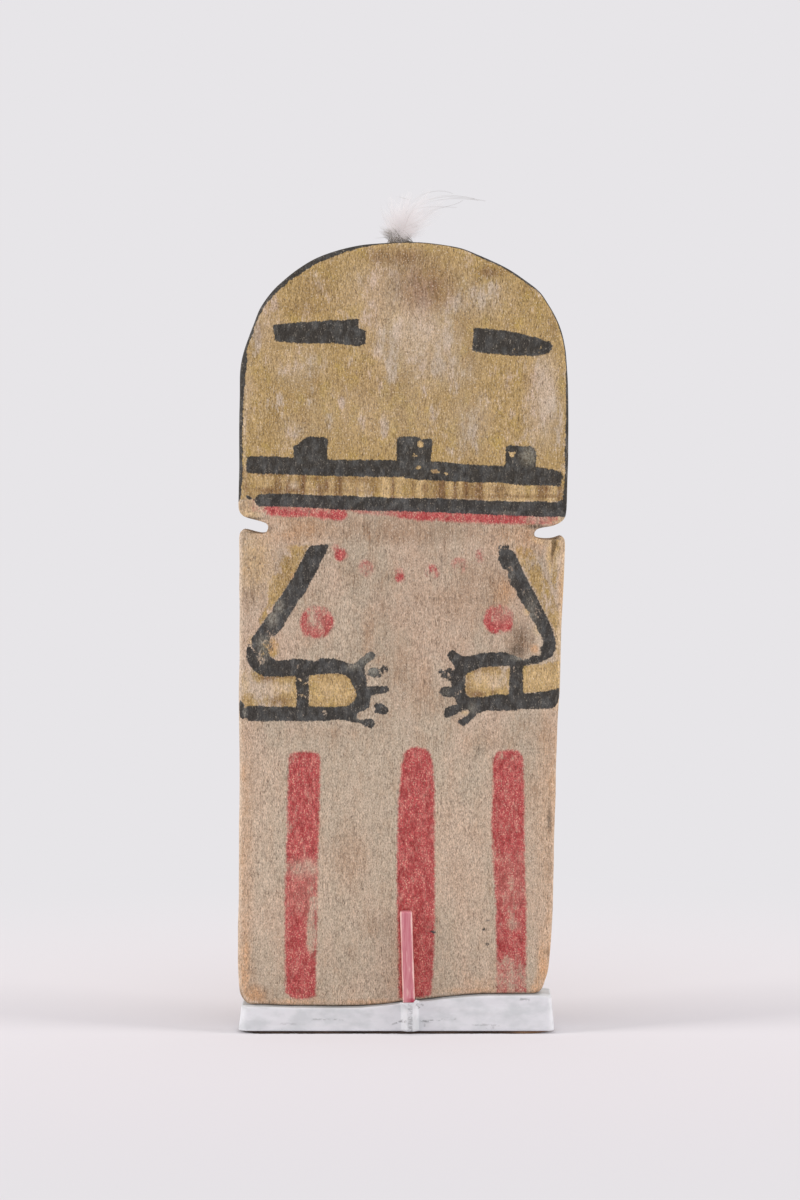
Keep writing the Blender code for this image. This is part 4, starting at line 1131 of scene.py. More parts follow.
    def _black(self, tree: bpy.types.NodeTree, noise: dict, colour: bpy.types.NodeSocket) -> tuple:
        """Brush the black, greyer in clouds, with clusters of pale scuffs; give colour and cover."""
        cover = self._cover(tree, noise, Pigment.BLACK, Wear(0.22, 0.13, 0.17, 0.35, clear=0.3))
        grey = add(tree, "MapRange", {"Value": noise["dapple"], "From Min": 0.44, "From Max": 0.66})
        paint = add(tree, "Mix", {0: grey, 6: linear(self.black), 7: linear(self.black_cool)}, 2, data_type="RGBA")
        zone = add(tree, "MapRange", {"Value": noise["mottle"], "From Min": 0.48, "From Max": 0.62, "To Min": 0.06})
        paint = tint(tree, paint, self.black_speck, noise["specks"], (0.56, 0.68), 0.7, zone)
        paint = tint(tree, paint, self.black_speck, noise["fibre"], (0.56, 0.72), 0.25, zone)
        film = add(tree, "Attribute", out="Fac", attribute_name="black_thin")
        patchy = {"Value": noise["flake"], "From Min": 0.42, "From Max": 0.58, "To Min": 0.35, "To Max": 2.4}
        film = add(tree, "Math", {0: film, 1: add(tree, "MapRange", patchy)}, operation="MULTIPLY", use_clamp=True)
        paint = add(tree, "Mix", {0: film, 6: paint, 7: linear(self.black_film)}, 2, data_type="RGBA")
        cover = add(tree, "Math", {0: cover, 1: 0.97}, operation="MULTIPLY")
        return add(tree, "Mix", {0: cover, 6: colour, 7: paint}, 2, data_type="RGBA"), cover

    def _tone(self, tree: bpy.types.NodeTree, noise: dict, colour: bpy.types.NodeSocket) -> bpy.types.NodeSocket:
        """Vary every tone by the sum of three patterns, each weighed about its own mean."""
        weights = {"grit": 1.5, "fibre": 0.95, "mottle": 0.45}
        level = 1.0 - sum(weights.values()) / 2
        for name, weight in weights.items():
            level = add(tree, "Math", {0: noise[name], 1: weight, 2: level}, operation="MULTIPLY_ADD")
        return add(tree, "Mix", {0: 1.0, 6: colour, 7: level}, 2, data_type="RGBA", blend_type="MULTIPLY")

    def _bump(self, tree: bpy.types.NodeTree, noise: dict, black: bpy.types.NodeSocket) -> bpy.types.NodeSocket:
        """Raise the grain and grit, and sink the pores; the black fills them a little."""
        height = add(tree, "Math", {0: noise["fibre"], 1: 0.8, 2: noise["grit"]}, operation="MULTIPLY_ADD")
        height = add(tree, "Math", {0: noise["pores"], 1: -0.6, 2: height}, operation="MULTIPLY_ADD")
        height = add(tree, "Math", {0: black, 1: 0.15, 2: height}, operation="MULTIPLY_ADD")
        return add(tree, "Bump", {"Height": height, "Strength": 0.6, "Distance": self.grain_depth * MM})


@dataclass(frozen=True)
class WhiteDown:
    """Soft white down barbs: clean keratin threads that scatter the light and let it through.

    The eye gets a mist of threads hardly darker than the light behind them, greyer at the quill
    end and in the few barbs that lie thickest. A faint glow, painted light, keeps them from
    greying where they shade each other.
    """

    colour: str = "F4F1F1"
    dull: str = "A9A29C"
    through: float = 0.5
    # Painted light: an emission that lifts the threads to near the backdrop's brightness.
    glow: float = 0.125

    def build(self, name: str = "white_down_barbs") -> bpy.types.Material:
        """Mix a matt white with light passing through, dulled where the threads' attribute says, and add a glow:
        painted light.
        """
        material, tree = new_material(name)
        share = add(tree, "Attribute", out="Fac", attribute_name="dull")
        shade = {0: share, 6: linear(self.colour), 7: linear(self.dull)}
        colour = add(tree, "Mix", shade, 2, data_type="RGBA")
        matt = add(tree, "BsdfDiffuse", {"Color": colour, "Roughness": 1.0})
        lit = add(tree, "BsdfTranslucent", {"Color": colour})
        cloth = add(tree, "MixShader", {0: self.through, 1: matt, 2: lit})
        # Painted light: the threads glow a little, so that their shade on each other doesn't grey them.
        glow = add(tree, "Emission", {"Color": colour, "Strength": self.glow})
        add(tree, "OutputMaterial", {"Surface": add(tree, "AddShader", {0: cloth, 1: glow})})
        return material


@dataclass(frozen=True)
class TangledRoot:
    """The down's quill ends, gummed and dusty: brown threads that clear to white outwards."""

    dark: str = "40311F"
    light: str = "86745B"
    tip: str = "D9D4CF"

    def build(self) -> bpy.types.Material:
        """Vary the threads from dark to light brown, and clear them towards their tips."""
        material, tree = new_material("down_root_threads")
        noise = patterns(tree, {"dust": Pattern((0.8, 0.8, 0.8), 2.0)})
        share = add(tree, "MapRange", {"Value": noise["dust"], "From Min": 0.35, "From Max": 0.65})
        colour = add(tree, "Mix", {0: share, 6: linear(self.dark), 7: linear(self.light)}, 2, data_type="RGBA")
        clear = add(tree, "Attribute", out="Fac", attribute_name="clear")
        colour = add(tree, "Mix", {0: clear, 6: colour, 7: linear(self.tip)}, 2, data_type="RGBA")
        shader = add(tree, "BsdfPrincipled", {"Base Color": colour, "Roughness": 0.7})
        add(tree, "OutputMaterial", {"Surface": shader})
        return material


@dataclass(frozen=True)
class StandPaint:
    """White gloss-free acrylic paint, brushed thickly along a plastic or wooden stand.

    The eye gets a cool white with faint low brush marks, a few grey scratches, a grey band of
    painted shade down the bar's ridge, a top painted greyer as shade, and painted shade with
    some soiling in the crevice where the doll stands.
    """

    white: str = "E1E2E6"
    shadow: str = "D0D3D6"
    # Grey scratches, which also paint the shade down the bar's ridge.
    scratch_and_shade: str = "7E7E80"
    # Painted shade of the top face.
    painted_top_shade: str = "A9AEA8"
    # Painted shade in the crevice under the board, with some soiling.
    crevice_shade_and_dirt: str = "4A3B2E"

    def build(self) -> bpy.types.Material:
        """Streak the white along the brush strokes, then scratch it and paint shade down the bar's ridge, on the top
        and, with some soiling, in the crevice.
        """
        material, tree = new_material("white_stand_paint_finish")
        noise = patterns(tree, {
            "brush": Pattern((9.0, 9.0, 0.9), 3.0, 0.55),
            "cloud": Pattern((5.0, 5.0, 3.0), 3.0, 0.55, 3.0),
            "fine": Pattern((0.9, 0.9, 0.35), 2.0, 0.6, 9.0),
        })
        streak = add(tree, "MapRange", {"Value": noise["cloud"], "From Min": 0.42, "From Max": 0.66})
        colour = add(tree, "Mix", {0: streak, 6: linear(self.white), 7: linear(self.shadow)}, 2, data_type="RGBA")
        # Paint the top's shade, the scratches with the ridge's painted shade, and the crevice's painted shade with some
        # soiling.
        for name, code, low in (("painted_top_shade", self.painted_top_shade, 0.2), ("scratch_and_shade", self.scratch_and_shade, 0.42), ("crevice_shade_and_dirt", self.crevice_shade_and_dirt, 0.25)):
            zone = add(tree, "Attribute", out="Fac", attribute_name=name)
            broken = add(tree, "MapRange", {"Value": noise["fine"], "From Min": low, "From Max": low + 0.15})
            zone = add(tree, "Math", {0: zone, 1: broken}, operation="MULTIPLY", use_clamp=True)
            colour = add(tree, "Mix", {0: zone, 6: colour, 7: linear(code)}, 2, data_type="RGBA")
        height = add(tree, "Math", {0: noise["brush"], 1: noise["cloud"]}, operation="ADD")
        bump = add(tree, "Bump", {"Height": height, "Strength": 0.4, "Distance": 0.1 * MM})
        inputs = {"Base Color": colour, "Roughness": 0.5, "Normal": bump, "Specular IOR Level": 0.4}
        add(tree, "OutputMaterial", {"Surface": add(tree, "BsdfPrincipled", inputs)})
        return material


@dataclass(frozen=True)
class BarPaint:
    """Thin tinted acrylic on the bars that hold the board, brushed lengthwise.

    The eye gets streaks from pale edges, painted highlights of the lamps at the sides, to a deeper
    middle, a satin sheen and, at the foot, a darker band where the paint pooled.
    """

    name: str = "pink_bar_paint_finish"
    middle: str = "D28B93"
    # Painted highlight of the edges.
    edge: str = "ECC4BE"
    streak: str = "C26A78"
    pool: str = "A63048"

    def build(self) -> bpy.types.Material:
        """Streak the colour, paint highlights on the edges, and darken the pool at the foot."""
        material, tree = new_material(self.name)
        noise = patterns(tree, {
            "streak": Pattern((0.55, 0.55, 9.0), 3.0, 0.6),
            "blot": Pattern((1.2, 1.2, 4.0), 3.0, 0.6, 5.0),
        })
        rim = add(tree, "Attribute", out="Fac", attribute_name="rim")
        rim = add(tree, "Math", {0: noise["blot"], 1: 1.6, 2: rim}, operation="MULTIPLY_ADD")
        pale = add(tree, "MapRange", {"Value": rim, "From Min": 1.1, "From Max": 1.6}, interpolation_type="SMOOTHSTEP")
        deep = add(tree, "MapRange", {"Value": noise["streak"], "From Min": 0.45, "From Max": 0.62, "To Max": 0.9})
        colour = add(tree, "Mix", {0: deep, 6: linear(self.middle), 7: linear(self.streak)}, 2, data_type="RGBA")
        colour = add(tree, "Mix", {0: pale, 6: colour, 7: linear(self.edge)}, 2, data_type="RGBA")
        pool = add(tree, "Attribute", out="Fac", attribute_name="pool")
        colour = add(tree, "Mix", {0: pool, 6: colour, 7: linear(self.pool)}, 2, data_type="RGBA")
        bump = add(tree, "Bump", {"Height": noise["streak"], "Strength": 0.6, "Distance": 0.06 * MM})
        inputs = {"Base Color": colour, "Roughness": 0.34, "Normal": bump, "Specular IOR Level": 0.55}
        add(tree, "OutputMaterial", {"Surface": add(tree, "BsdfPrincipled", inputs)})
        return material


@dataclass(frozen=True)
class BrownFelt:
    """Pressed dark brown wool felt: matt, fibrous, and tan towards its right end."""

    dark: str = "2A1C14"
    light: str = "5E4636"
    right_end_tan: str = "A87E5A"

    def build(self) -> bpy.types.Material:
        """Mottle the felt from dark to lighter brown and roughen it with its fibres."""
        material, tree = new_material("brown_felt_finish")
        noise = patterns(tree, {"wool": Pattern((0.4, 0.4, 0.3), 3.0, 0.7), "rub": Pattern((9.0, 9.0, 9.0), 2.0)})
        share = add(tree, "Math", {0: noise["wool"], 1: noise["rub"]}, operation="MULTIPLY")
        share = add(tree, "MapRange", {"Value": share, "From Min": 0.18, "From Max": 0.42})
        colour = add(tree, "Mix", {0: share, 6: linear(self.dark), 7: linear(self.light)}, 2, data_type="RGBA")
        right_end_tan = add(tree, "Attribute", out="Fac", attribute_name="right_end_tan")
        colour = add(tree, "Mix", {0: right_end_tan, 6: colour, 7: linear(self.right_end_tan)}, 2, data_type="RGBA")
        bump = add(tree, "Bump", {"Height": noise["wool"], "Strength": 1.0, "Distance": 0.2 * MM})
        inputs = {"Base Color": colour, "Roughness": 1.0, "Normal": bump, "Sheen Weight": 0.3}
        add(tree, "OutputMaterial", {"Surface": add(tree, "BsdfPrincipled", inputs)})
        return material


@dataclass
class Shell:
    """A closed surface in mm: its points, its faces, and the values that it carries."""

    points: np.ndarray
    faces: list[list[int]]
    row: np.ndarray
    fields: dict[str, np.ndarray] = field(default_factory=dict)

    def place(self, name: str, node: str, slot: str, material: bpy.types.Material) -> bpy.types.Object:
        """Make the mesh object, hang it on the root body and hide the CAD part that it replaces.

        Args:
            name: the object's name.
            node: the CAD node that it replaces.
            slot: not used.
            material: its finish.

        Returns:
            The new object.
        """
        mesh = bpy.data.meshes.new(name)
        mesh.from_pydata((self.points * MM).tolist(), [], self.faces)
        for key, values in self.fields.items():
            mesh.attributes.new(key, "FLOAT", "POINT").data.foreach_set("value", values.astype(np.float32))
        mesh.polygons.foreach_set("use_smooth", np.ones(len(mesh.polygons), dtype=bool))
        mesh.materials.append(material)
        piece = bpy.data.objects.new(name, mesh)
        bpy.context.scene.collection.objects.link(piece)
        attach(piece, "root")
        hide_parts(node)
        LOG.info("%s: %d points, %d faces", name, len(self.points), len(self.faces))
        return piece


@dataclass(frozen=True)
class Window:
    """A part of a filled face that takes a finer lattice."""

    low: tuple[float, float]
    high: tuple[float, float]
    spacing: float


def lattice(low: np.ndarray, high: np.ndarray, spacing: float) -> np.ndarray:
    """Lay out a hexagonal lattice of points between two corners."""
    a = np.arange(low[0], high[0], spacing)
    b = np.arange(low[1], high[1], spacing * math.sqrt(0.75))
    shift = (np.arange(len(b)) % 2) * spacing / 2
    return np.stack([np.tile(a, len(b)) + np.repeat(shift, len(a)), np.repeat(b, len(a))], axis=1)


def fill(ring: np.ndarray, spacing: float, windows: tuple[Window, ...] = ()) -> tuple[np.ndarray, np.ndarray]:
    """Fill a closed flat ring with near-even triangles.

    The points of a hexagonal lattice that lie inside the ring, and not too near it, are joined
    with the ring's own points by a constrained Delaunay triangulation.

    Args:
        ring: the ring's corners, counter-clockwise, one row each.
        spacing: the lattice spacing, in mm.
        windows: parts that take a finer lattice.

    Returns:
        The inner points, and triangles that number the ring's points first.
    """
    inner = lattice(ring.min(axis=0), ring.max(axis=0), spacing)
    for window in windows:
        outside = ((inner < window.low) | (inner > window.high)).any(axis=1)
        inner = np.vstack([inner[outside], lattice(np.array(window.low), np.array(window.high), window.spacing)])
    depth, _ = signed_distance(inner[:, 0], inner[:, 1], ring)
    inner = inner[depth > 0.45 * spacing]
    everything = [Vector(p) for p in np.vstack([ring, inner]).tolist()]
    edges = [(i, (i + 1) % len(ring)) for i in range(len(ring))]
    made, _, faces, *_ = delaunay_2d_cdt(everything, edges, [], 1, 1e-6, False)
    if len(made) != len(everything):
        raise ValueError("the ring crosses itself")
    triangles = np.array(faces)
    doubtful = np.flatnonzero((triangles < len(ring)).all(axis=1))
    middle = ring[triangles[doubtful]].mean(axis=1)
    outside = signed_distance(middle[:, 0], middle[:, 1], ring)[0] < 0.0
    return inner, np.delete(triangles, doubtful[outside], axis=0)


def loft(rings: np.ndarray, plane: tuple[int, int], spacings: tuple[float, float], windows: tuple[Window, ...] = ()) -> Shell:
    """Join rings of points into a closed shell and fill the first and last.

    Args:
        rings: an array of rings, points round each, and x, y, z. Each ring runs counter-clockwise
            as seen from the last one.
        plane: the two axes in which the end rings lie.
        spacings: the lattice spacing of the first and the last face.
        windows: parts of the last face that take a finer lattice.

    Returns:
        The shell. Its rows number the rings from 0; -1 is the first face and the number of rings
        is the last.
    """
    total, count, _ = rings.shape
    third = 3 - sum(plane)
    index = np.arange(total * count).reshape(total, count)
    turned = np.roll(index, -1, axis=1)
    quads = np.stack([index[:-1], turned[:-1], turned[1:], index[1:]], axis=-1)
    faces = quads.reshape(-1, 4).tolist()
    points, rows, start = [rings.reshape(-1, 3)], [np.repeat(np.arange(total), count)], total * count
    for ring, spacing, mark in ((0, spacings[0], -1), (total - 1, spacings[1], total)):
        inner, triangles = fill(rings[ring][:, plane], spacing, windows if mark > 0 else ())
        number = np.concatenate([index[ring], start + np.arange(len(inner))])
        triangles = number[triangles]
        faces += (triangles if mark > 0 else triangles[:, ::-1]).tolist()
        face = np.empty((len(inner), 3))
        face[:, plane] = inner
        face[:, third] = rings[ring][:, third].mean()
        points.append(face)
        rows.append(np.full(len(inner), mark))
        start += len(inner)
    return Shell(np.vstack(points), faces, np.concatenate(rows))


def inward(loop: np.ndarray) -> np.ndarray:
    """Give the unit normals that point into a counter-clockwise loop."""
    along = np.roll(loop, -1, axis=0) - np.roll(loop, 1, axis=0)
    along = soften(along / np.linalg.norm(along, axis=1)[:, None], 1.2)
    along /= np.linalg.norm(along, axis=1)[:, None]
    return np.stack([-along[:, 1], along[:, 0]], axis=1)


def stain_field(x: np.ndarray, z: np.ndarray, dabs: tuple[Dab, ...]) -> np.ndarray:
    """Lay soft dabs over each other: what is left clear is the product of what each leaves."""
    clear = np.ones(len(x))
    for dab in dabs:
        clear *= 1.0 - dab.body * smoothstep(1.35, 0.15, dab.radius(x, z))
    return 1.0 - clear


@dataclass
class Board:
    """The doll itself: one flat carved board with the artwork painted on its front."""

    thickness: float = 12.0
    arris: float = 1.45
    notch_arris: float = 0.35
    foot_arris: float = 0.6
    spacing: float = 0.56
    back_spacing: float = 1.3
    wrap: float = 0.8
    bleed: float = 0.14
    back_clear: float = 60.0
    split_top: tuple[float, float] = (37.5, 124.8)
    split_tip: tuple[float, float] = (37.35, 116.6)
    split_depth: float = 1.15
    split_half: float = 0.85
    finish: PaintedCottonwood = field(default_factory=PaintedCottonwood)

    def outline(self) -> np.ndarray:
        """Sample the outline counter-clockwise and take the stiffness of the knots off it."""
        knots = np.array(LEFT_SIDE + LEFT_NOTCH + HEAD + RIGHT_NOTCH + RIGHT_SIDE + LOWER_EDGE)[::-1]
        return soften(smooth_loop(knots, 0.5), 0.7)

    def edge_radius(self, loop: np.ndarray) -> np.ndarray:
        """Choose the rounding of the long edges: small in the notches and along the foot."""
        x, z = loop.T
        radius = self.arris * (1.0 + 0.2 * drift(x + z, z - x, 9.0, 9.0, 41))
        side = smoothstep(30.0, 32.0, np.abs(x))
        notch = smoothstep(8.5, 3.5, np.abs(z - 127.3)) * side
        foot = smoothstep(17.0, 11.0, z)
        radius = radius + (self.notch_arris - radius) * notch
        radius = radius + (self.foot_arris - radius) * foot
        return soften(radius, 2.0)

    def rings(self) -> np.ndarray:
        """Carry the edge profile round the outline, from the back face to the front face.

        The profile is a quarter round of radius r at each side of a straight edge: at angle a the
        inset is r (1 - cos a) and the distance to the face is r (1 - sin a).
        """
        loop = self.outline()
        normal, radius = inward(loop), self.edge_radius(loop)
        half = self.thickness / 2
        turn = np.radians(np.array([90.0, 66.0, 44.0, 22.0, 0.0]))[:, None]
        inset = radius * (1.0 - np.cos(turn))
        depth = half - radius * (1.0 - np.sin(turn))
        middle = np.linspace(1.0, -1.0, 6)[1:-1, None] * (half - radius)
        insets = np.vstack([inset, np.zeros_like(middle), inset[::-1]])
        ys = np.vstack([depth, middle, -depth[::-1]])
        run = np.cumsum(np.linalg.norm(loop - np.roll(loop, 1, axis=0), axis=1))
        insets = insets + 0.07 * drift(ys, np.broadcast_to(run, ys.shape), 5.0, 6.0, 43)
        flat = loop[None] + insets[..., None] * normal[None]
        return np.stack([flat[..., 0], ys, flat[..., 1]], axis=-1)

    def carve(self, shell: Shell) -> np.ndarray:
        """Give the front and back their knife work, and open the split under the right notch."""
        x, y, z = shell.points.T
        half = self.thickness / 2
        front = smoothstep(-half + 3.5, -half + 0.7, y)
        back = smoothstep(half - 3.5, half - 0.7, y)
        facets = 0.10 * drift(x, z, 8.0, 21.0, 51) + 0.05 * drift(x, z, 3.0, 8.0, 52)
        grain = 0.03 * drift(x, z, 0.9, 9.0, 53)
        rear = 0.14 * drift(x, z, 7.0, 24.0, 54) + 0.05 * drift(x, z, 1.6, 10.0, 55)
        (ax, az), (bx, bz) = self.split_top, self.split_tip
        t = np.clip((az - z) / (az - bz), 0.0, 1.0)
        centre = ax + (bx - ax) * t + 0.25 * np.sin(t * 7.0)
        half_width = self.split_half * (1.0 - t) ** 0.7 + 0.05
        groove = np.clip(1.0 - np.abs(x - centre) / half_width, 0.0, 1.0) * (z > bz) * (z < az + 1.5)
        groove = self.split_depth * np.sqrt(groove) * np.clip((1.0 - t) * 1.6, 0.0, 1.0)
        shell.points[:, 1] = y + (facets + grain + groove) * front - rear * back
        return groove

    def depth(self, shell: Shell, loop: np.ndarray) -> np.ndarray:
        """Measure each point's distance in from the silhouette, for the head and the long edges."""
        x, _, z = shell.points.T
        depth = np.full(len(x), 10.0)
        near = (z > 128.0) | (np.abs(x) > 31.0) | (z < 12.5)
        depth[near] = signed_distance(x[near], z[near], loop)[0]
        return np.maximum(depth, 0.0)

    def edge_paint(self, shell: Shell, depth: np.ndarray) -> np.ndarray:
        """Signed distance to the edge of the black that runs round the head and laps on to it."""
        x, y, z = shell.points.T
        angle = np.degrees(np.arctan2(z - LAP_CENTRE[1], x - LAP_CENTRE[0]))
        angle = np.where(angle < -90.0, angle + 360.0, angle)
        degrees, laps = np.array(EDGE_LAP).T
        lap = np.interp(angle, degrees, laps)
        ragged = np.where(lap > 0.0, lap * (1.0 + 0.22 * drift(angle, z, 1.6, 5.0, 61)), lap)
        side = self.thickness / 2 - np.abs(y)
        return np.minimum(ragged + self.wrap * side - depth, 6.0 * (lap + 0.55))

    def paint(self, shell: Shell, groove: np.ndarray) -> None:
        """Store the artwork as signed distances and solidities, and the stains, with the painted shade and highlights
        among them, as strengths.
        """
        x, y, z = shell.points.T
        half = self.thickness / 2
        depth = self.depth(shell, self.outline())
        behind = smoothstep(-1.0, 5.5, y)
        round_edge = self.wrap * np.maximum(y + half - 0.3, 0.0) + self.back_clear * behind
        for pigment, coat in ((Pigment.OCHRE, OCHRE), (Pigment.RED, RED), (Pigment.BLACK, BLACK)):
            edge, body, thin = coat.lay(x, z)
            edge = edge - round_edge
            if pigment is Pigment.BLACK:
                lap = self.edge_paint(shell, depth)
                body = np.where(lap > edge, 0.93, body)
                edge = np.maximum(edge + self.bleed, lap)
            shell.fields[pigment.value + "_edge"] = np.maximum(edge, FAR)
            shell.fields[pigment.value + "_body"] = body
            shell.fields[pigment.value + "_thin"] = thin
        front = smoothstep(half - 4.0, -half + 1.5, y)
        for tone in Tone:
            shell.fields[tone.value] = stain_field(x, z, STAINS[tone]) * front
        shell.fields["bare"] = np.maximum(shell.fields["bare"], 0.6 * behind)
        deep = smoothstep(0.3, 0.8, groove) * smoothstep(36.8, 37.2, x)
        left, right = smoothstep(-36.0, -37.0, x), smoothstep(31.0, 33.0, x)
        uneven = 1.0 + 0.35 * drift(z, x * 0.0, 3.0, 1.0, 57)
        body = smoothstep(125.5, 124.5, z) * front
        drips = drift(x, z, 1.3, 8.0, 58)
        stripe = smoothstep(131.0, 132.0, z) * smoothstep(142.5, 141.0, z) * front
        worn = {
            # Darker in the deepest part of the split; the thin dark strip along the foot's edge is painted shade of the
            # crevice over the stand.
            Tone.GRIME_AND_SHADE: (0.6 * deep, 0.4 * smoothstep(0.55, 0.2, depth) * smoothstep(12.0, 11.0, z) * front),
            Tone.UMBER: (0.95 * stripe * smoothstep(0.0, 0.7, drips),),
            Tone.CREAM: (
                0.9 * smoothstep(0.05, 0.4, groove),
                0.95 * stripe * smoothstep(-0.1, -0.6, drips),
                # A cream strip along the right edge: worn paint, with a painted highlight where the arris meets the
                # side light.
                0.5 * right * smoothstep(1.9 * uneven, 0.9, depth) * smoothstep(80.0, 84.0, z) * body,
            ),
            # A pale strip along the left edge: worn paint, with a painted highlight where the arris meets the side
            # light.
            Tone.PALE: (0.85 * left * smoothstep(0.95 * uneven, 0.5, depth) * body,),
            Tone.RUST: (
                0.7 * right * smoothstep(2.9 * uneven, 1.7, depth) * smoothstep(30.0, 22.0, z) * body,
                0.7 * left * smoothstep(2.7 * uneven, 1.6, depth) * smoothstep(30.0, 18.0, z) * body,
            ),
        }
        for tone, amounts in worn.items():
            for amount in amounts:
                shell.fields[tone.value] = np.maximum(shell.fields[tone.value], amount)

    def build(self) -> bpy.types.Object:
        """Make the board, carve it, paint it and give it its finish."""
        window = Window((33.5, 114.5), (39.5, 124.0), 0.3)
        shell = loft(self.rings(), (0, 2), (self.back_spacing, self.spacing), (window,))
        groove = self.carve(shell)
        self.paint(shell, groove)
        return shell.place("board_surface", "carved_board", "painted_cottonwood", self.finish.build())


@dataclass(frozen=True)
class Plan:
    """A rectangular plan with rounded corners: its two ends, half its depth and its corner radii."""

    left: float
    right: float
    half: float
    corners: tuple[float, float]

    def points(self, step: float, fine: tuple[float, float, float]) -> np.ndarray:
        """Sample the plan counter-clockwise from the front left.

        The front and back are straight runs, and each corner is its centre plus the radius turned
        through a right angle.

        Args:
            step: the usual spacing.
            fine: the start and end of the stretch of the front that is sampled closer, and how close.

        Returns:
            The plan's points, one row each.
        """
        left_corner, right_corner = self.corners
        a, b = self.left + left_corner, self.right - right_corner
        start, end, close = fine
        front = np.concatenate([np.arange(a, start, step), np.arange(start, end, close), np.arange(end, b, step)])
        back = np.arange(b, a, -step)
        right_run = np.arange(right_corner - self.half, self.half - right_corner, step)
        left_run = np.arange(self.half - left_corner, left_corner - self.half, -step)
        quarter = np.linspace(0.0, math.pi / 2, 8, endpoint=False)

        def corner(x: float, y: float, radius: float, turns: int) -> np.ndarray:
            """Sample one rounded corner, which starts after the given number of right angles."""
            angle = quarter + turns * math.pi / 2
            return np.stack([x + radius * np.cos(angle), y + radius * np.sin(angle)], axis=1)

        return np.vstack([
            np.stack([front, np.full(len(front), -self.half)], axis=1),
            corner(b, right_corner - self.half, right_corner, -1),
            np.stack([np.full(len(right_run), self.right), right_run], axis=1),
            corner(b, self.half - right_corner, right_corner, 0),
            np.stack([back, np.full(len(back), self.half)], axis=1),
            corner(a, self.half - left_corner, left_corner, 1),
            np.stack([np.full(len(left_run), self.left), left_run], axis=1),
            corner(a, left_corner - self.half, left_corner, 2),
        ])


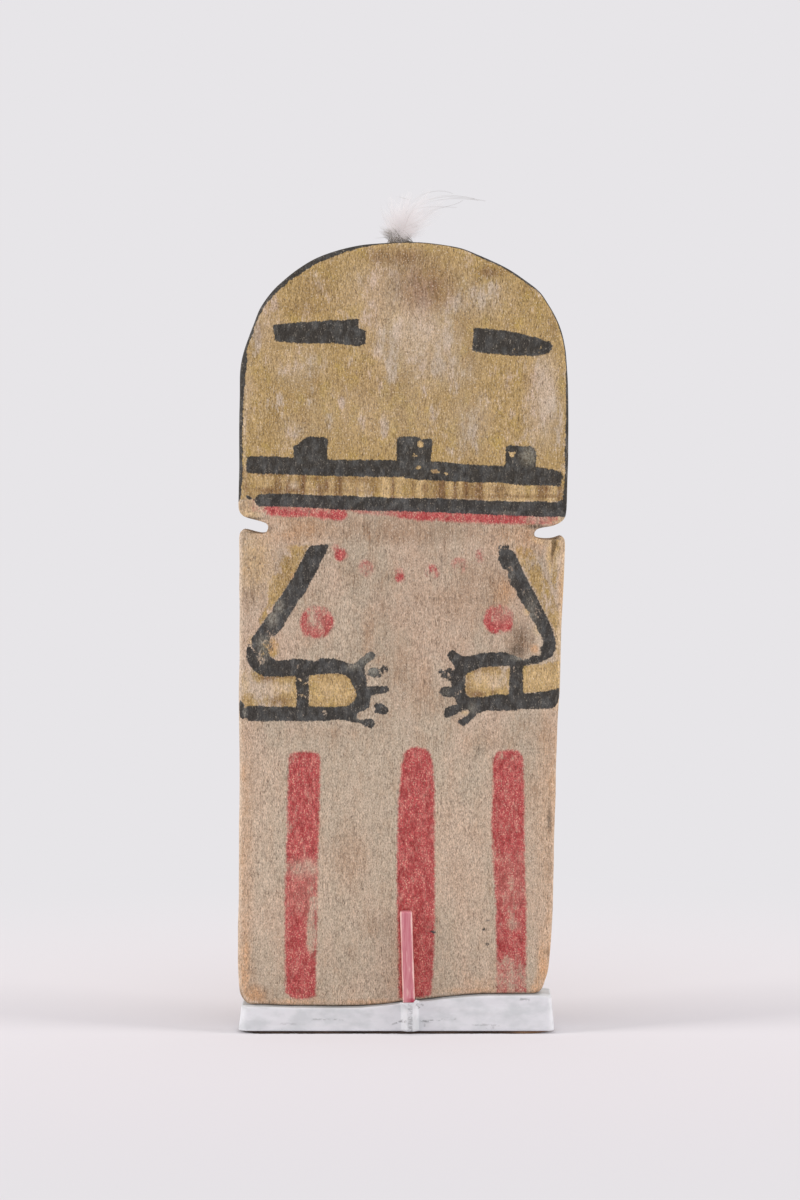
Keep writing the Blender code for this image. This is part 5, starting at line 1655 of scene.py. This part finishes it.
@dataclass
class StandBase:
    """The white block with rounded corners, whose top was cut to the doll's lower edge."""

    plan: Plan = Plan(-41.35, 38.0, 6.9, (2.8, 2.0))
    foot: float = 0.72
    end_draft: float = 0.85
    side_draft: float = 0.35
    lip: float = 0.4
    seat_gap: float = 0.12
    front_fall: float = 0.33
    ridge_left: float = 1.2
    ridge_right: float = 2.3
    ridge_height: float = 2.5
    flank: float = 1.75
    finish: StandPaint = field(default_factory=StandPaint)

    def top(self, x: np.ndarray) -> np.ndarray:
        """Height of the top: the doll's lower edge, less the gap under it, and lower at the ends."""
        edge = np.array(sorted((*LOWER_EDGE, (-39.3, 7.3), (-44.0, 7.3), (34.6, 10.15), (36.2, 9.9), (40.0, 9.8))))
        return np.interp(x, edge[:, 0], edge[:, 1]) - self.seat_gap

    def rings(self) -> np.ndarray:
        """Carry the wall's profile round the plan: foot, slight draft, and a rounded lip.

        Heights are parts of the wall here; shape() stretches them to the wavy top.
        """
        plan = self.plan.points(0.5, (-4.0, 8.5, 0.16))
        normal = inward(plan)
        turn = np.radians(np.array([0.0, 22.0, 45.0, 68.0, 90.0]))
        wall = np.linspace(0.05, 0.94, 30)
        curve = self.lip * (1.0 - np.cos(turn))
        insets = np.concatenate([[0.5, 0.12, 0.02], np.zeros_like(wall), curve, self.lip + np.array([0.35, 0.8])])
        drafts = np.concatenate([[0.0, 0.0, 0.02], wall, np.ones(len(turn) + 2)])
        heights = np.concatenate([[0.0, 0.004, 0.025], wall, 0.955 + 0.045 * np.sin(turn), [1.0, 1.0]])
        lean = normal * (self.end_draft, self.side_draft)
        flat = plan[None] + insets[:, None, None] * normal[None] + drafts[:, None, None] * lean[None]
        return np.concatenate([flat, np.broadcast_to(heights[:, None, None], (*flat.shape[:2], 1))], axis=-1)

    def height(self, x: np.ndarray, y: np.ndarray) -> np.ndarray:
        """Height of the top, which falls a little at the front and back and is drawn up the bar."""
        front = smoothstep(-5.2, -6.4, y)
        fall = self.front_fall * smoothstep(self.plan.half - 1.5, self.plan.half - 0.6, np.abs(y))
        pull = 0.75 * np.exp(-(((x - 1.4) / 2.1) ** 2)) + 0.55 * np.exp(-(((x - 3.25) / 0.45) ** 2))
        return self.top(x) - fall + pull * front + 0.07 * drift(x, y, 4.0, 4.0, 71)

    def ridge(self, x: np.ndarray, z: np.ndarray) -> np.ndarray:
        """How far the paint stands out over the bar: a flat top between two rounded flanks.

        Near the block's top the flat part widens to the bar's own width.
        """
        flare = smoothstep(6.4, 8.1, z)
        left, right = self.ridge_left - 1.15 * flare, self.ridge_right + 0.6 * flare
        wide_left, wide_right = self.flank - 0.95 * flare, self.flank - 0.7 * flare
        rise = smoothstep(0.0, 1.0, (x - left + wide_left) / wide_left)
        return self.ridge_height * np.minimum(rise, smoothstep(0.0, 1.0, (right + wide_right - x) / wide_right))

    def shape(self, shell: Shell) -> None:
        """Stretch the block to its top, roughen it with the brush, and run paint over the bar."""
        x, y, part = shell.points.T.copy()
        z = self.foot + part * (self.height(x, y) - self.foot)
        outer = smoothstep(self.plan.half - 1.4, self.plan.half - 0.7, np.abs(y))
        brush = 0.05 * drift(x, z, 7.0, 1.8, 72) + 0.03 * drift(x, z, 1.8, 1.1, 73)
        y = y * (1.0 + outer * brush / self.plan.half)
        push = self.ridge(x, z) * smoothstep(-2.5, -6.0, y) * smoothstep(self.foot - 0.4, self.foot + 0.5, z)
        shell.points = np.stack([x, y - push, z], axis=1)

    def mark(self, shell: Shell) -> None:
        """Mark the scratches and the ridge's painted shade on the front, the top's painted shade, and the painted shade
        with some soiling in the crevice.
        """
        x, y, z = shell.points.T
        scratches = (
            Stroke(((-1.5, 2.9), (-0.3, 3.3), (0.6, 3.45)), 0.16, 0.95),
            Stroke(((-2.6, 2.5), (-1.4, 2.9)), 0.12, 0.5),
            Stroke(((4.4, 3.25), (5.6, 3.2), (7.4, 3.3)), 0.14, 0.85),
            Stroke(((8.6, 3.4), (11.0, 3.9), (13.0, 3.8)), 0.1, 0.5),
            Stroke(((5.4, 2.0), (5.5, 3.0)), 0.1, 0.5),
            Stroke(((3.5, 7.6), (3.9, 7.1), (4.0, 6.6)), 0.18, 0.8),
            Stroke(((4.6, 7.4), (5.0, 7.2)), 0.14, 0.5),
            Stroke(((17.5, 2.3), (20.5, 2.35), (24.0, 2.2)), 0.1, 0.5),
            Stroke(((21.2, 1.5), (22.6, 1.6)), 0.18, 0.6),
            Stroke(((29.5, 8.8), (31.6, 8.55)), 0.16, 0.7),
            Stroke(((-22.8, 3.7), (-15.0, 3.6)), 0.09, 0.45),
            Stroke(((-30.4, 2.6), (-27.0, 2.5)), 0.16, 0.3),
        )
        scratch_and_shade = np.zeros(len(x))
        for scratch in scratches:
            near = scratch.body * smoothstep(-0.22, 0.06, scratch.reach(x, z))
            scratch_and_shade = np.maximum(scratch_and_shade, near)
        # A grey band down the ridge's front, carried with the scratches: painted shade.
        ridge_shade = 0.5 * smoothstep(0.75, 0.35, np.abs(x - 1.8)) * smoothstep(8.4, 7.6, z)
        shell.fields["scratch_and_shade"] = np.maximum(scratch_and_shade, ridge_shade) * (y < 0)
        flat = smoothstep(self.plan.half - 0.35, self.plan.half - 0.6, np.abs(y)) * (shell.row != -1)
        flat *= smoothstep(0.75, 0.4, self.height(x, y) - z)
        # The top face is painted greyer: painted shade.
        shell.fields["painted_top_shade"] = 0.3 * flat
        # Darker where the board stands on the top: painted shade of the crevice, with some soiling.
        board = smoothstep(self.plan.half - 0.45, self.plan.half - 0.75, np.abs(y))
        shell.fields["crevice_shade_and_dirt"] = 0.35 * flat * board * smoothstep(0.8, -0.8, np.abs(x + 1.5) - 35.6)

    def build(self) -> bpy.types.Object:
        """Make the block and mark it."""
        shell = loft(self.rings(), (0, 1), (2.0, 0.9))
        self.shape(shell)
        self.mark(shell)
        return shell.place("stand_base_surface", "stand_base", "white_stand_paint", self.finish.build())


@dataclass
class Bar:
    """One of the two painted bars that hold the board: square, with soft edges and a blunt top."""

    name: str
    node: str
    slot: str
    y: float
    path: Points
    finish: BarPaint
    width: float = 3.1
    depth: float = 2.8
    corner: float = 0.75

    def rings(self) -> np.ndarray:
        """Carry a rounded square up the bar's slightly bent middle line, and round its top.

        A corner's points are its centre plus the radius turned through a right angle.
        """
        half = np.array([self.width / 2, self.depth / 2]) - self.corner
        turn = np.radians(np.arange(0.0, 90.0, 15.0))
        corners = []
        for quarter, signs in enumerate(((1, 1), (-1, 1), (-1, -1), (1, -1))):
            angle = turn + quarter * math.pi / 2
            round_part = self.corner * np.stack([np.cos(angle), np.sin(angle)], axis=1)
            corners.append(half * signs + round_part)
        section = np.vstack(corners)
        heights, middles = np.array(self.path).T
        low, high = heights[0], heights[-1]
        blunt = np.radians(np.array([0.0, 20.0, 40.0, 60.0, 80.0]))
        z = np.concatenate([[low, low + 0.02], np.linspace(low + 0.2, high - 0.7, 60), high - 0.6 * (1.0 - np.sin(blunt))])
        shrink = np.concatenate([[0.9, 1.0], np.ones(60), 1.0 - 0.28 * (1.0 - np.cos(blunt))])
        middle = np.interp(z, heights, middles)
        rows = section[None] * shrink[:, None, None]
        swell = 1.0 + 0.03 * drift(z, z * 0.0, 4.0, 1.0, 81)
        rows = rows * swell[:, None, None]
        x = rows[..., 0] + middle[:, None]
        return np.stack([x, rows[..., 1] + self.y, np.broadcast_to(z[:, None], x.shape)], axis=-1)

    def build(self) -> bpy.types.Object:
        """Make the bar and mark its painted edge highlights and the pool at its foot."""
        shell = loft(self.rings(), (0, 1), (0.6, 0.5))
        x, _, z = shell.points.T
        heights, middles = np.array(self.path).T
        offset = (x - np.interp(z, heights, middles)) / (self.width / 2)
        # The paler edges: painted highlights.
        shell.fields["rim"] = np.abs(offset) ** 3
        pool = smoothstep(9.6, 9.2, z + 0.25 * offset) * smoothstep(-0.5, -0.2, offset)
        shell.fields["pool"] = pool
        return shell.place(self.name, self.node, self.slot, self.finish.build())


@dataclass
class BasePad:
    """The dark felt under the block, cut by hand, uneven at its edge and thinner at its ends."""

    plan: Plan = Plan(-41.1, 37.7, 6.5, (5.6, 5.6))
    thickness: float = 0.71
    worn: float = 0.4
    finish: BrownFelt = field(default_factory=BrownFelt)

    def build(self) -> bpy.types.Object:
        """Make the pad: its plan, set in a little unevenly, with a soft edge and worn ends."""
        plan = self.plan.points(0.5, (-4.0, -2.0, 0.5))
        run = np.arange(len(plan)) * 0.5
        uneven = 0.2 * drift(run, run * 0.0, 4.0, 1.0, 91) + 0.1 * drift(run, run * 0.0, 1.1, 1.0, 92)
        insets = np.array([0.3, 0.05, 0.0, 0.05, 0.3])[:, None] + uneven[None]
        heights = np.array([0.0, 0.08, 0.35, 0.62, self.thickness])
        flat = plan[None] + insets[..., None] * inward(plan)[None]
        rings = np.concatenate([flat, np.broadcast_to(heights[:, None, None], (*flat.shape[:2], 1))], axis=-1)
        shell = loft(rings, (0, 1), (2.5, 2.5))
        x, _, z = shell.points.T
        ends = smoothstep(33.0, 39.0, np.abs(x + 1.7))
        shell.points[:, 2] = z + (self.thickness - z) * self.worn * ends
        # Tan towards the right end.
        shell.fields["right_end_tan"] = 0.9 * smoothstep(24.0, 37.0, x + 3.0 * drift(x, x * 0.0, 3.0, 1.0, 93))
        return shell.place("base_pad_surface", "base_pad", "brown_felt", self.finish.build())


def threads(paths: np.ndarray, radius: np.ndarray) -> Shell:
    """Sweep a closed three-sided tube along each of many paths.

    A corner stands at the path point plus the radius along two directions square to the path:
    the path's direction crossed with Y, and that crossed with the direction again.

    Args:
        paths: an array of threads, points along each, and x, y, z.
        radius: the radius at each point of each thread.

    Returns:
        One shell for all the threads.
    """
    count, steps, _ = paths.shape
    along = np.gradient(paths, axis=1)
    along /= np.linalg.norm(along, axis=2, keepdims=True)
    across = np.cross(along, np.array([0.05, 1.0, 0.02]))
    across /= np.linalg.norm(across, axis=2, keepdims=True)
    third = np.cross(along, across)
    turn = np.radians([0.0, 120.0, 240.0])
    ring = np.cos(turn)[:, None] * across[:, :, None] + np.sin(turn)[:, None] * third[:, :, None]
    points = paths[:, :, None] + radius[..., None, None] * ring
    index = np.arange(count * steps * 3).reshape(count, steps, 3)
    turned = np.roll(index, -1, axis=2)
    quads = np.stack([index[:, :-1], turned[:, :-1], turned[:, 1:], index[:, 1:]], axis=-1).reshape(-1, 4)
    ends = np.concatenate([index[:, 0, ::-1], index[:, -1]])
    return Shell(points.reshape(-1, 3), quads.tolist() + ends.tolist(), np.zeros(count * steps * 3))


@dataclass(frozen=True)
class Tuft:
    """A part of the plume: where its threads end, how far they spread and their share."""

    tip: tuple[float, float, float]
    spread: float
    share: float


@dataclass
class Plume:
    """The tuft of down: a mist of fine pale threads that rise from a dark tangled root."""

    root: tuple[float, float, float] = (-0.9, 0.0, 197.8)
    count: int = 1150
    steps: int = 10
    tufts: tuple[Tuft, ...] = (
        Tuft((-5.2, 0.5, 202.4), 1.1, 0.10),
        Tuft((-4.6, 1.0, 205.8), 1.3, 0.13),
        Tuft((-3.2, -1.5, 209.4), 1.3, 0.12),
        Tuft((1.6, 1.5, 210.8), 1.4, 0.13),
        Tuft((6.8, -1.0, 211.2), 1.3, 0.10),
        Tuft((11.4, 1.2, 210.2), 1.0, 0.07),
        Tuft((10.6, 1.6, 207.0), 1.2, 0.06),
        Tuft((7.4, -2.0, 203.6), 1.3, 0.12),
        Tuft((5.0, 1.6, 200.8), 1.1, 0.12),
    )
    strays: tuple[Points, ...] = (
        ((0.0, 206.0), (4.6, 211.6), (9.6, 211.4), (12.4, 210.2)),
        ((2.0, 207.0), (8.0, 210.0), (12.0, 209.9), (20.6, 208.4)),
        ((1.0, 206.4), (9.0, 209.6), (14.0, 209.2), (19.0, 208.5)),
        ((0.6, 205.0), (3.0, 207.4), (8.0, 207.0), (13.4, 206.8)),
        ((2.0, 204.0), (6.0, 206.8), (12.0, 206.4), (15.0, 208.6)),
        ((-1.4, 208.0), (-2.0, 210.4), (-0.4, 209.0), (1.4, 208.8)),
        ((6.0, 208.6), (10.0, 210.6), (15.0, 209.6), (18.0, 208.9)),
    )

    def barbs(self) -> Shell:
        """Grow the pale threads.

        Each follows a cubic curve from the root, up and over towards its tuft's tip, and sways
        more and more along its length.
        """
        rng = np.random.default_rng(7)
        share = np.array([t.share for t in self.tufts])
        pick = rng.choice(len(self.tufts), self.count, p=share / share.sum())
        tips = np.array([t.tip for t in self.tufts])[pick]
        tips = tips + rng.normal(0.0, 0.62, (self.count, 3)) * np.array([t.spread for t in self.tufts])[pick][:, None]
        start = np.array(self.root) + rng.normal(0.0, 1.0, (self.count, 3)) * (0.9, 0.85, 0.12)
        reach = tips - start
        length = np.linalg.norm(reach, axis=1)[:, None]
        up = np.array([0.0, 0.0, 1.0]) + rng.normal(0.0, 0.25, (self.count, 3)) + 0.2 * reach / length
        first = start + up * length * rng.uniform(0.25, 0.5, (self.count, 1))
        second = tips - (reach / length + rng.normal(0.0, 0.35, (self.count, 3))) * length * 0.3
        t = np.linspace(0.0, 1.0, self.steps)[None, :, None] * rng.uniform(0.45, 1.0, (self.count, 1, 1))
        curve = start[:, None] * (1 - t) ** 3 + 3 * first[:, None] * t * (1 - t) ** 2
        curve = curve + 3 * second[:, None] * t**2 * (1 - t) + tips[:, None] * t**3
        phase = rng.uniform(0.0, 2 * math.pi, (self.count, 1, 3))
        sway = np.sin(phase + t * rng.uniform(5.0, 12.0, (self.count, 1, 3))) * rng.uniform(0.05, 0.45, (self.count, 1, 3))
        curve = curve + sway * t
        thin = np.linspace(1.0, 0.35, self.steps)[None] * rng.uniform(0.016, 0.03, (self.count, 1))
        curve, thin = np.concatenate([curve, self.stray()]), np.concatenate([thin, np.full((len(self.strays), self.steps), 0.034)])
        shell = threads(curve, thin)
        dull = np.where(rng.uniform(0.0, 1.0, (self.count, 1)) < 0.04, 0.6, 0.0) + 0.3 * smoothstep(0.16, 0.0, t[..., 0])
        fade = np.interp(np.linspace(0.0, 1.0, self.steps), (0.2, 0.6), (0.1, 0.8))
        dull = np.concatenate([dull, np.broadcast_to(fade, (len(self.strays), self.steps))])
        shell.fields["dull"] = np.repeat(dull.ravel(), 3)
        return shell

    def stray(self) -> np.ndarray:
        """Draw the few long grey threads that curl out of the tuft, as cubic curves."""
        knots = np.array(self.strays)
        t = np.linspace(0.0, 1.0, self.steps)[None, :, None]
        a, b, c, d = (knots[:, None, k] for k in range(4))
        flat = a * (1 - t) ** 3 + 3 * b * t * (1 - t) ** 2 + 3 * c * t**2 * (1 - t) + d * t**3
        return np.stack([flat[..., 0], 0.8 * np.sin(flat[..., 0]), flat[..., 1]], axis=-1)

    def tangle(self) -> Shell:
        """Knot the dark root: low arches over the crown, and hairs that sweep up to the left."""
        rng = np.random.default_rng(11)
        arched, swept, steps = 110, 230, 14
        t = np.linspace(0.0, 1.0, steps)[None]
        half = rng.uniform(0.5, 1.8, (arched, 1))
        middle = rng.uniform(-2.6, 0.2, (arched, 1))
        rise = rng.uniform(0.3, 1.9, (arched, 1))
        x = middle - half * np.cos(math.pi * t) + 0.2 * np.sin(9.0 * t + middle * 5.0)
        y = rng.normal(0.0, 1.1, (arched, 1)) + rng.normal(0.0, 0.6, (arched, 1)) * t
        arches = np.stack([x, y, 197.6 + rise * np.sin(math.pi * t)], axis=-1)
        start = np.array([0.4, 0.0, 197.9]) + rng.normal(0.0, 1.0, (swept, 1, 3)) * (1.0, 0.9, 0.1)
        end = np.array([-3.2, 0.0, 200.5]) + rng.normal(0.0, 1.0, (swept, 1, 3)) * (1.3, 1.1, 0.9)
        s = t[..., None]
        bow = np.array([0.4, 0.0, 0.6]) * np.sin(math.pi * s) * rng.uniform(-0.6, 1.4, (swept, 1, 1))
        hairs = start + (end - start) * s + bow
        paths = np.concatenate([arches, hairs])
        taper = np.interp(t, (0.0, 0.15, 0.6, 1.0), (0.6, 1.0, 0.8, 0.3))
        shell = threads(paths, taper * rng.uniform(0.03, 0.07, (arched + swept, 1)))
        clear = np.concatenate([np.full((arched, steps), 0.12), np.broadcast_to(t**1.25, (swept, steps))])
        shell.fields["clear"] = np.repeat(np.clip(clear, 0.0, 0.9).ravel(), 3)
        return shell

    def build(self) -> None:
        """Make the pale threads and the dark root."""
        self.barbs().place("down_barbs", "down_plume", "white_down", WhiteDown().build())
        self.tangle().place("down_root", "down_plume", "white_down", TangledRoot().build())


@dataclass
class Studio:
    """A plain pale floor and soft light, seen from where the photograph was taken."""

    tone: str = "E7E5E8"
    distance: float = 1100.0
    elevation: float = 3.0
    lens: float = 131.5
    target: tuple[float, float, float] = (-0.75, 0.0, 108.6)

    def floor(self) -> None:
        """Lay a wide floor that is matt near the doll and fades into the backdrop's own tone."""
        material, tree = new_material("studio_floor")
        place = add(tree, "TexCoord", out="Object")
        away = add(tree, "VectorMath", {0: place}, "Value", operation="LENGTH")
        fade = {"Value": away, "From Min": 0.08, "From Max": 0.34}
        share = add(tree, "MapRange", fade, interpolation_type="SMOOTHSTEP")
        near = add(tree, "BsdfDiffuse", {"Color": linear("DDDADD"), "Roughness": 1.0})
        far = add(tree, "Emission", {"Color": linear(self.tone), "Strength": 1.0})
        add(tree, "OutputMaterial", {"Surface": add(tree, "MixShader", {0: share, 1: near, 2: far})})
        mesh = bpy.data.meshes.new("studio_floor")
        reach = 30.0
        corners = [(-reach, -reach, 0.0), (reach, -reach, 0.0), (reach, reach, 0.0), (-reach, reach, 0.0)]
        mesh.from_pydata(corners, [], [(0, 1, 2, 3)])
        mesh.materials.append(material)
        ground = bpy.data.objects.new("studio_floor", mesh)
        bpy.context.scene.collection.objects.link(ground)

    def light(self, name: str, place: tuple[float, float, float], size: float, power: float, colour: str) -> None:
        """Hang one square soft light that faces the doll."""
        data = bpy.data.lights.new(name, "AREA")
        data.size = size * MM
        data.energy = power
        data.color = linear(colour)[:3]
        lamp = bpy.data.objects.new(name, data)
        lamp.location = Vector(place) * MM
        lamp.rotation_euler = (Vector((0.0, 0.0, 90.0)) - Vector(place)).to_track_quat("-Z", "Y").to_euler()
        bpy.context.scene.collection.objects.link(lamp)

    def world(self) -> None:
        """Fill the surroundings with the backdrop's tone."""
        world = bpy.data.worlds.new("studio_world")
        world.use_nodes = True
        backdrop = world.node_tree.nodes["Background"]
        backdrop.inputs["Color"].default_value = linear(self.tone)
        backdrop.inputs["Strength"].default_value = 1.0
        bpy.context.scene.world = world

    def camera(self) -> None:
        """Set the camera at the photograph's height and distance."""
        data = bpy.data.cameras.new("studio_camera")
        data.lens = self.lens
        data.clip_end = 100.0
        camera = bpy.data.objects.new("studio_camera", data)
        target = Vector(self.target)
        tilt = math.radians(self.elevation)
        away = Vector((0.0, -math.cos(tilt), math.sin(tilt))) * self.distance
        camera.location = (target + away) * MM
        camera.rotation_euler = (-away).to_track_quat("-Z", "Y").to_euler()
        bpy.context.scene.collection.objects.link(camera)
        bpy.context.scene.camera = camera

    def build(self) -> None:
        """Set the stage, the lights, the backdrop and the camera."""
        self.floor()
        self.world()
        self.light("key_left", (-980.0, -300.0, 420.0), 520.0, 5.4, "FFFBF6")
        self.light("key_right", (980.0, -280.0, 380.0), 520.0, 4.8, "FFFBF6")
        self.camera()
        scene = bpy.context.scene
        scene.view_settings.view_transform = "Standard"
        scene.view_settings.look = "None"


def main() -> None:
    """Build every piece and the studio."""
    logging.basicConfig(level=logging.INFO, format="%(name)s: %(message)s")
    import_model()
    Board().build()
    StandBase().build()
    front = ((8.25, 1.5), (9.3, 1.45), (20.1, 1.1), (31.1, 0.75))
    Bar("front_bar", "front_prong", "pink_bar_paint", -7.7, front, BarPaint(), width=3.0).build()
    tan = BarPaint("tan_bar_paint_finish", "B08F6E", "C9AE90", "9C7B5A", "7A5C40")
    Bar("back_bar", "back_prong", "tan_bar_paint", 7.7, ((2.4, 1.75), (31.1, 0.75)), tan).build()
    BasePad().build()
    Plume().build()
    Studio().build()


if __name__ == "__main__":
    main()
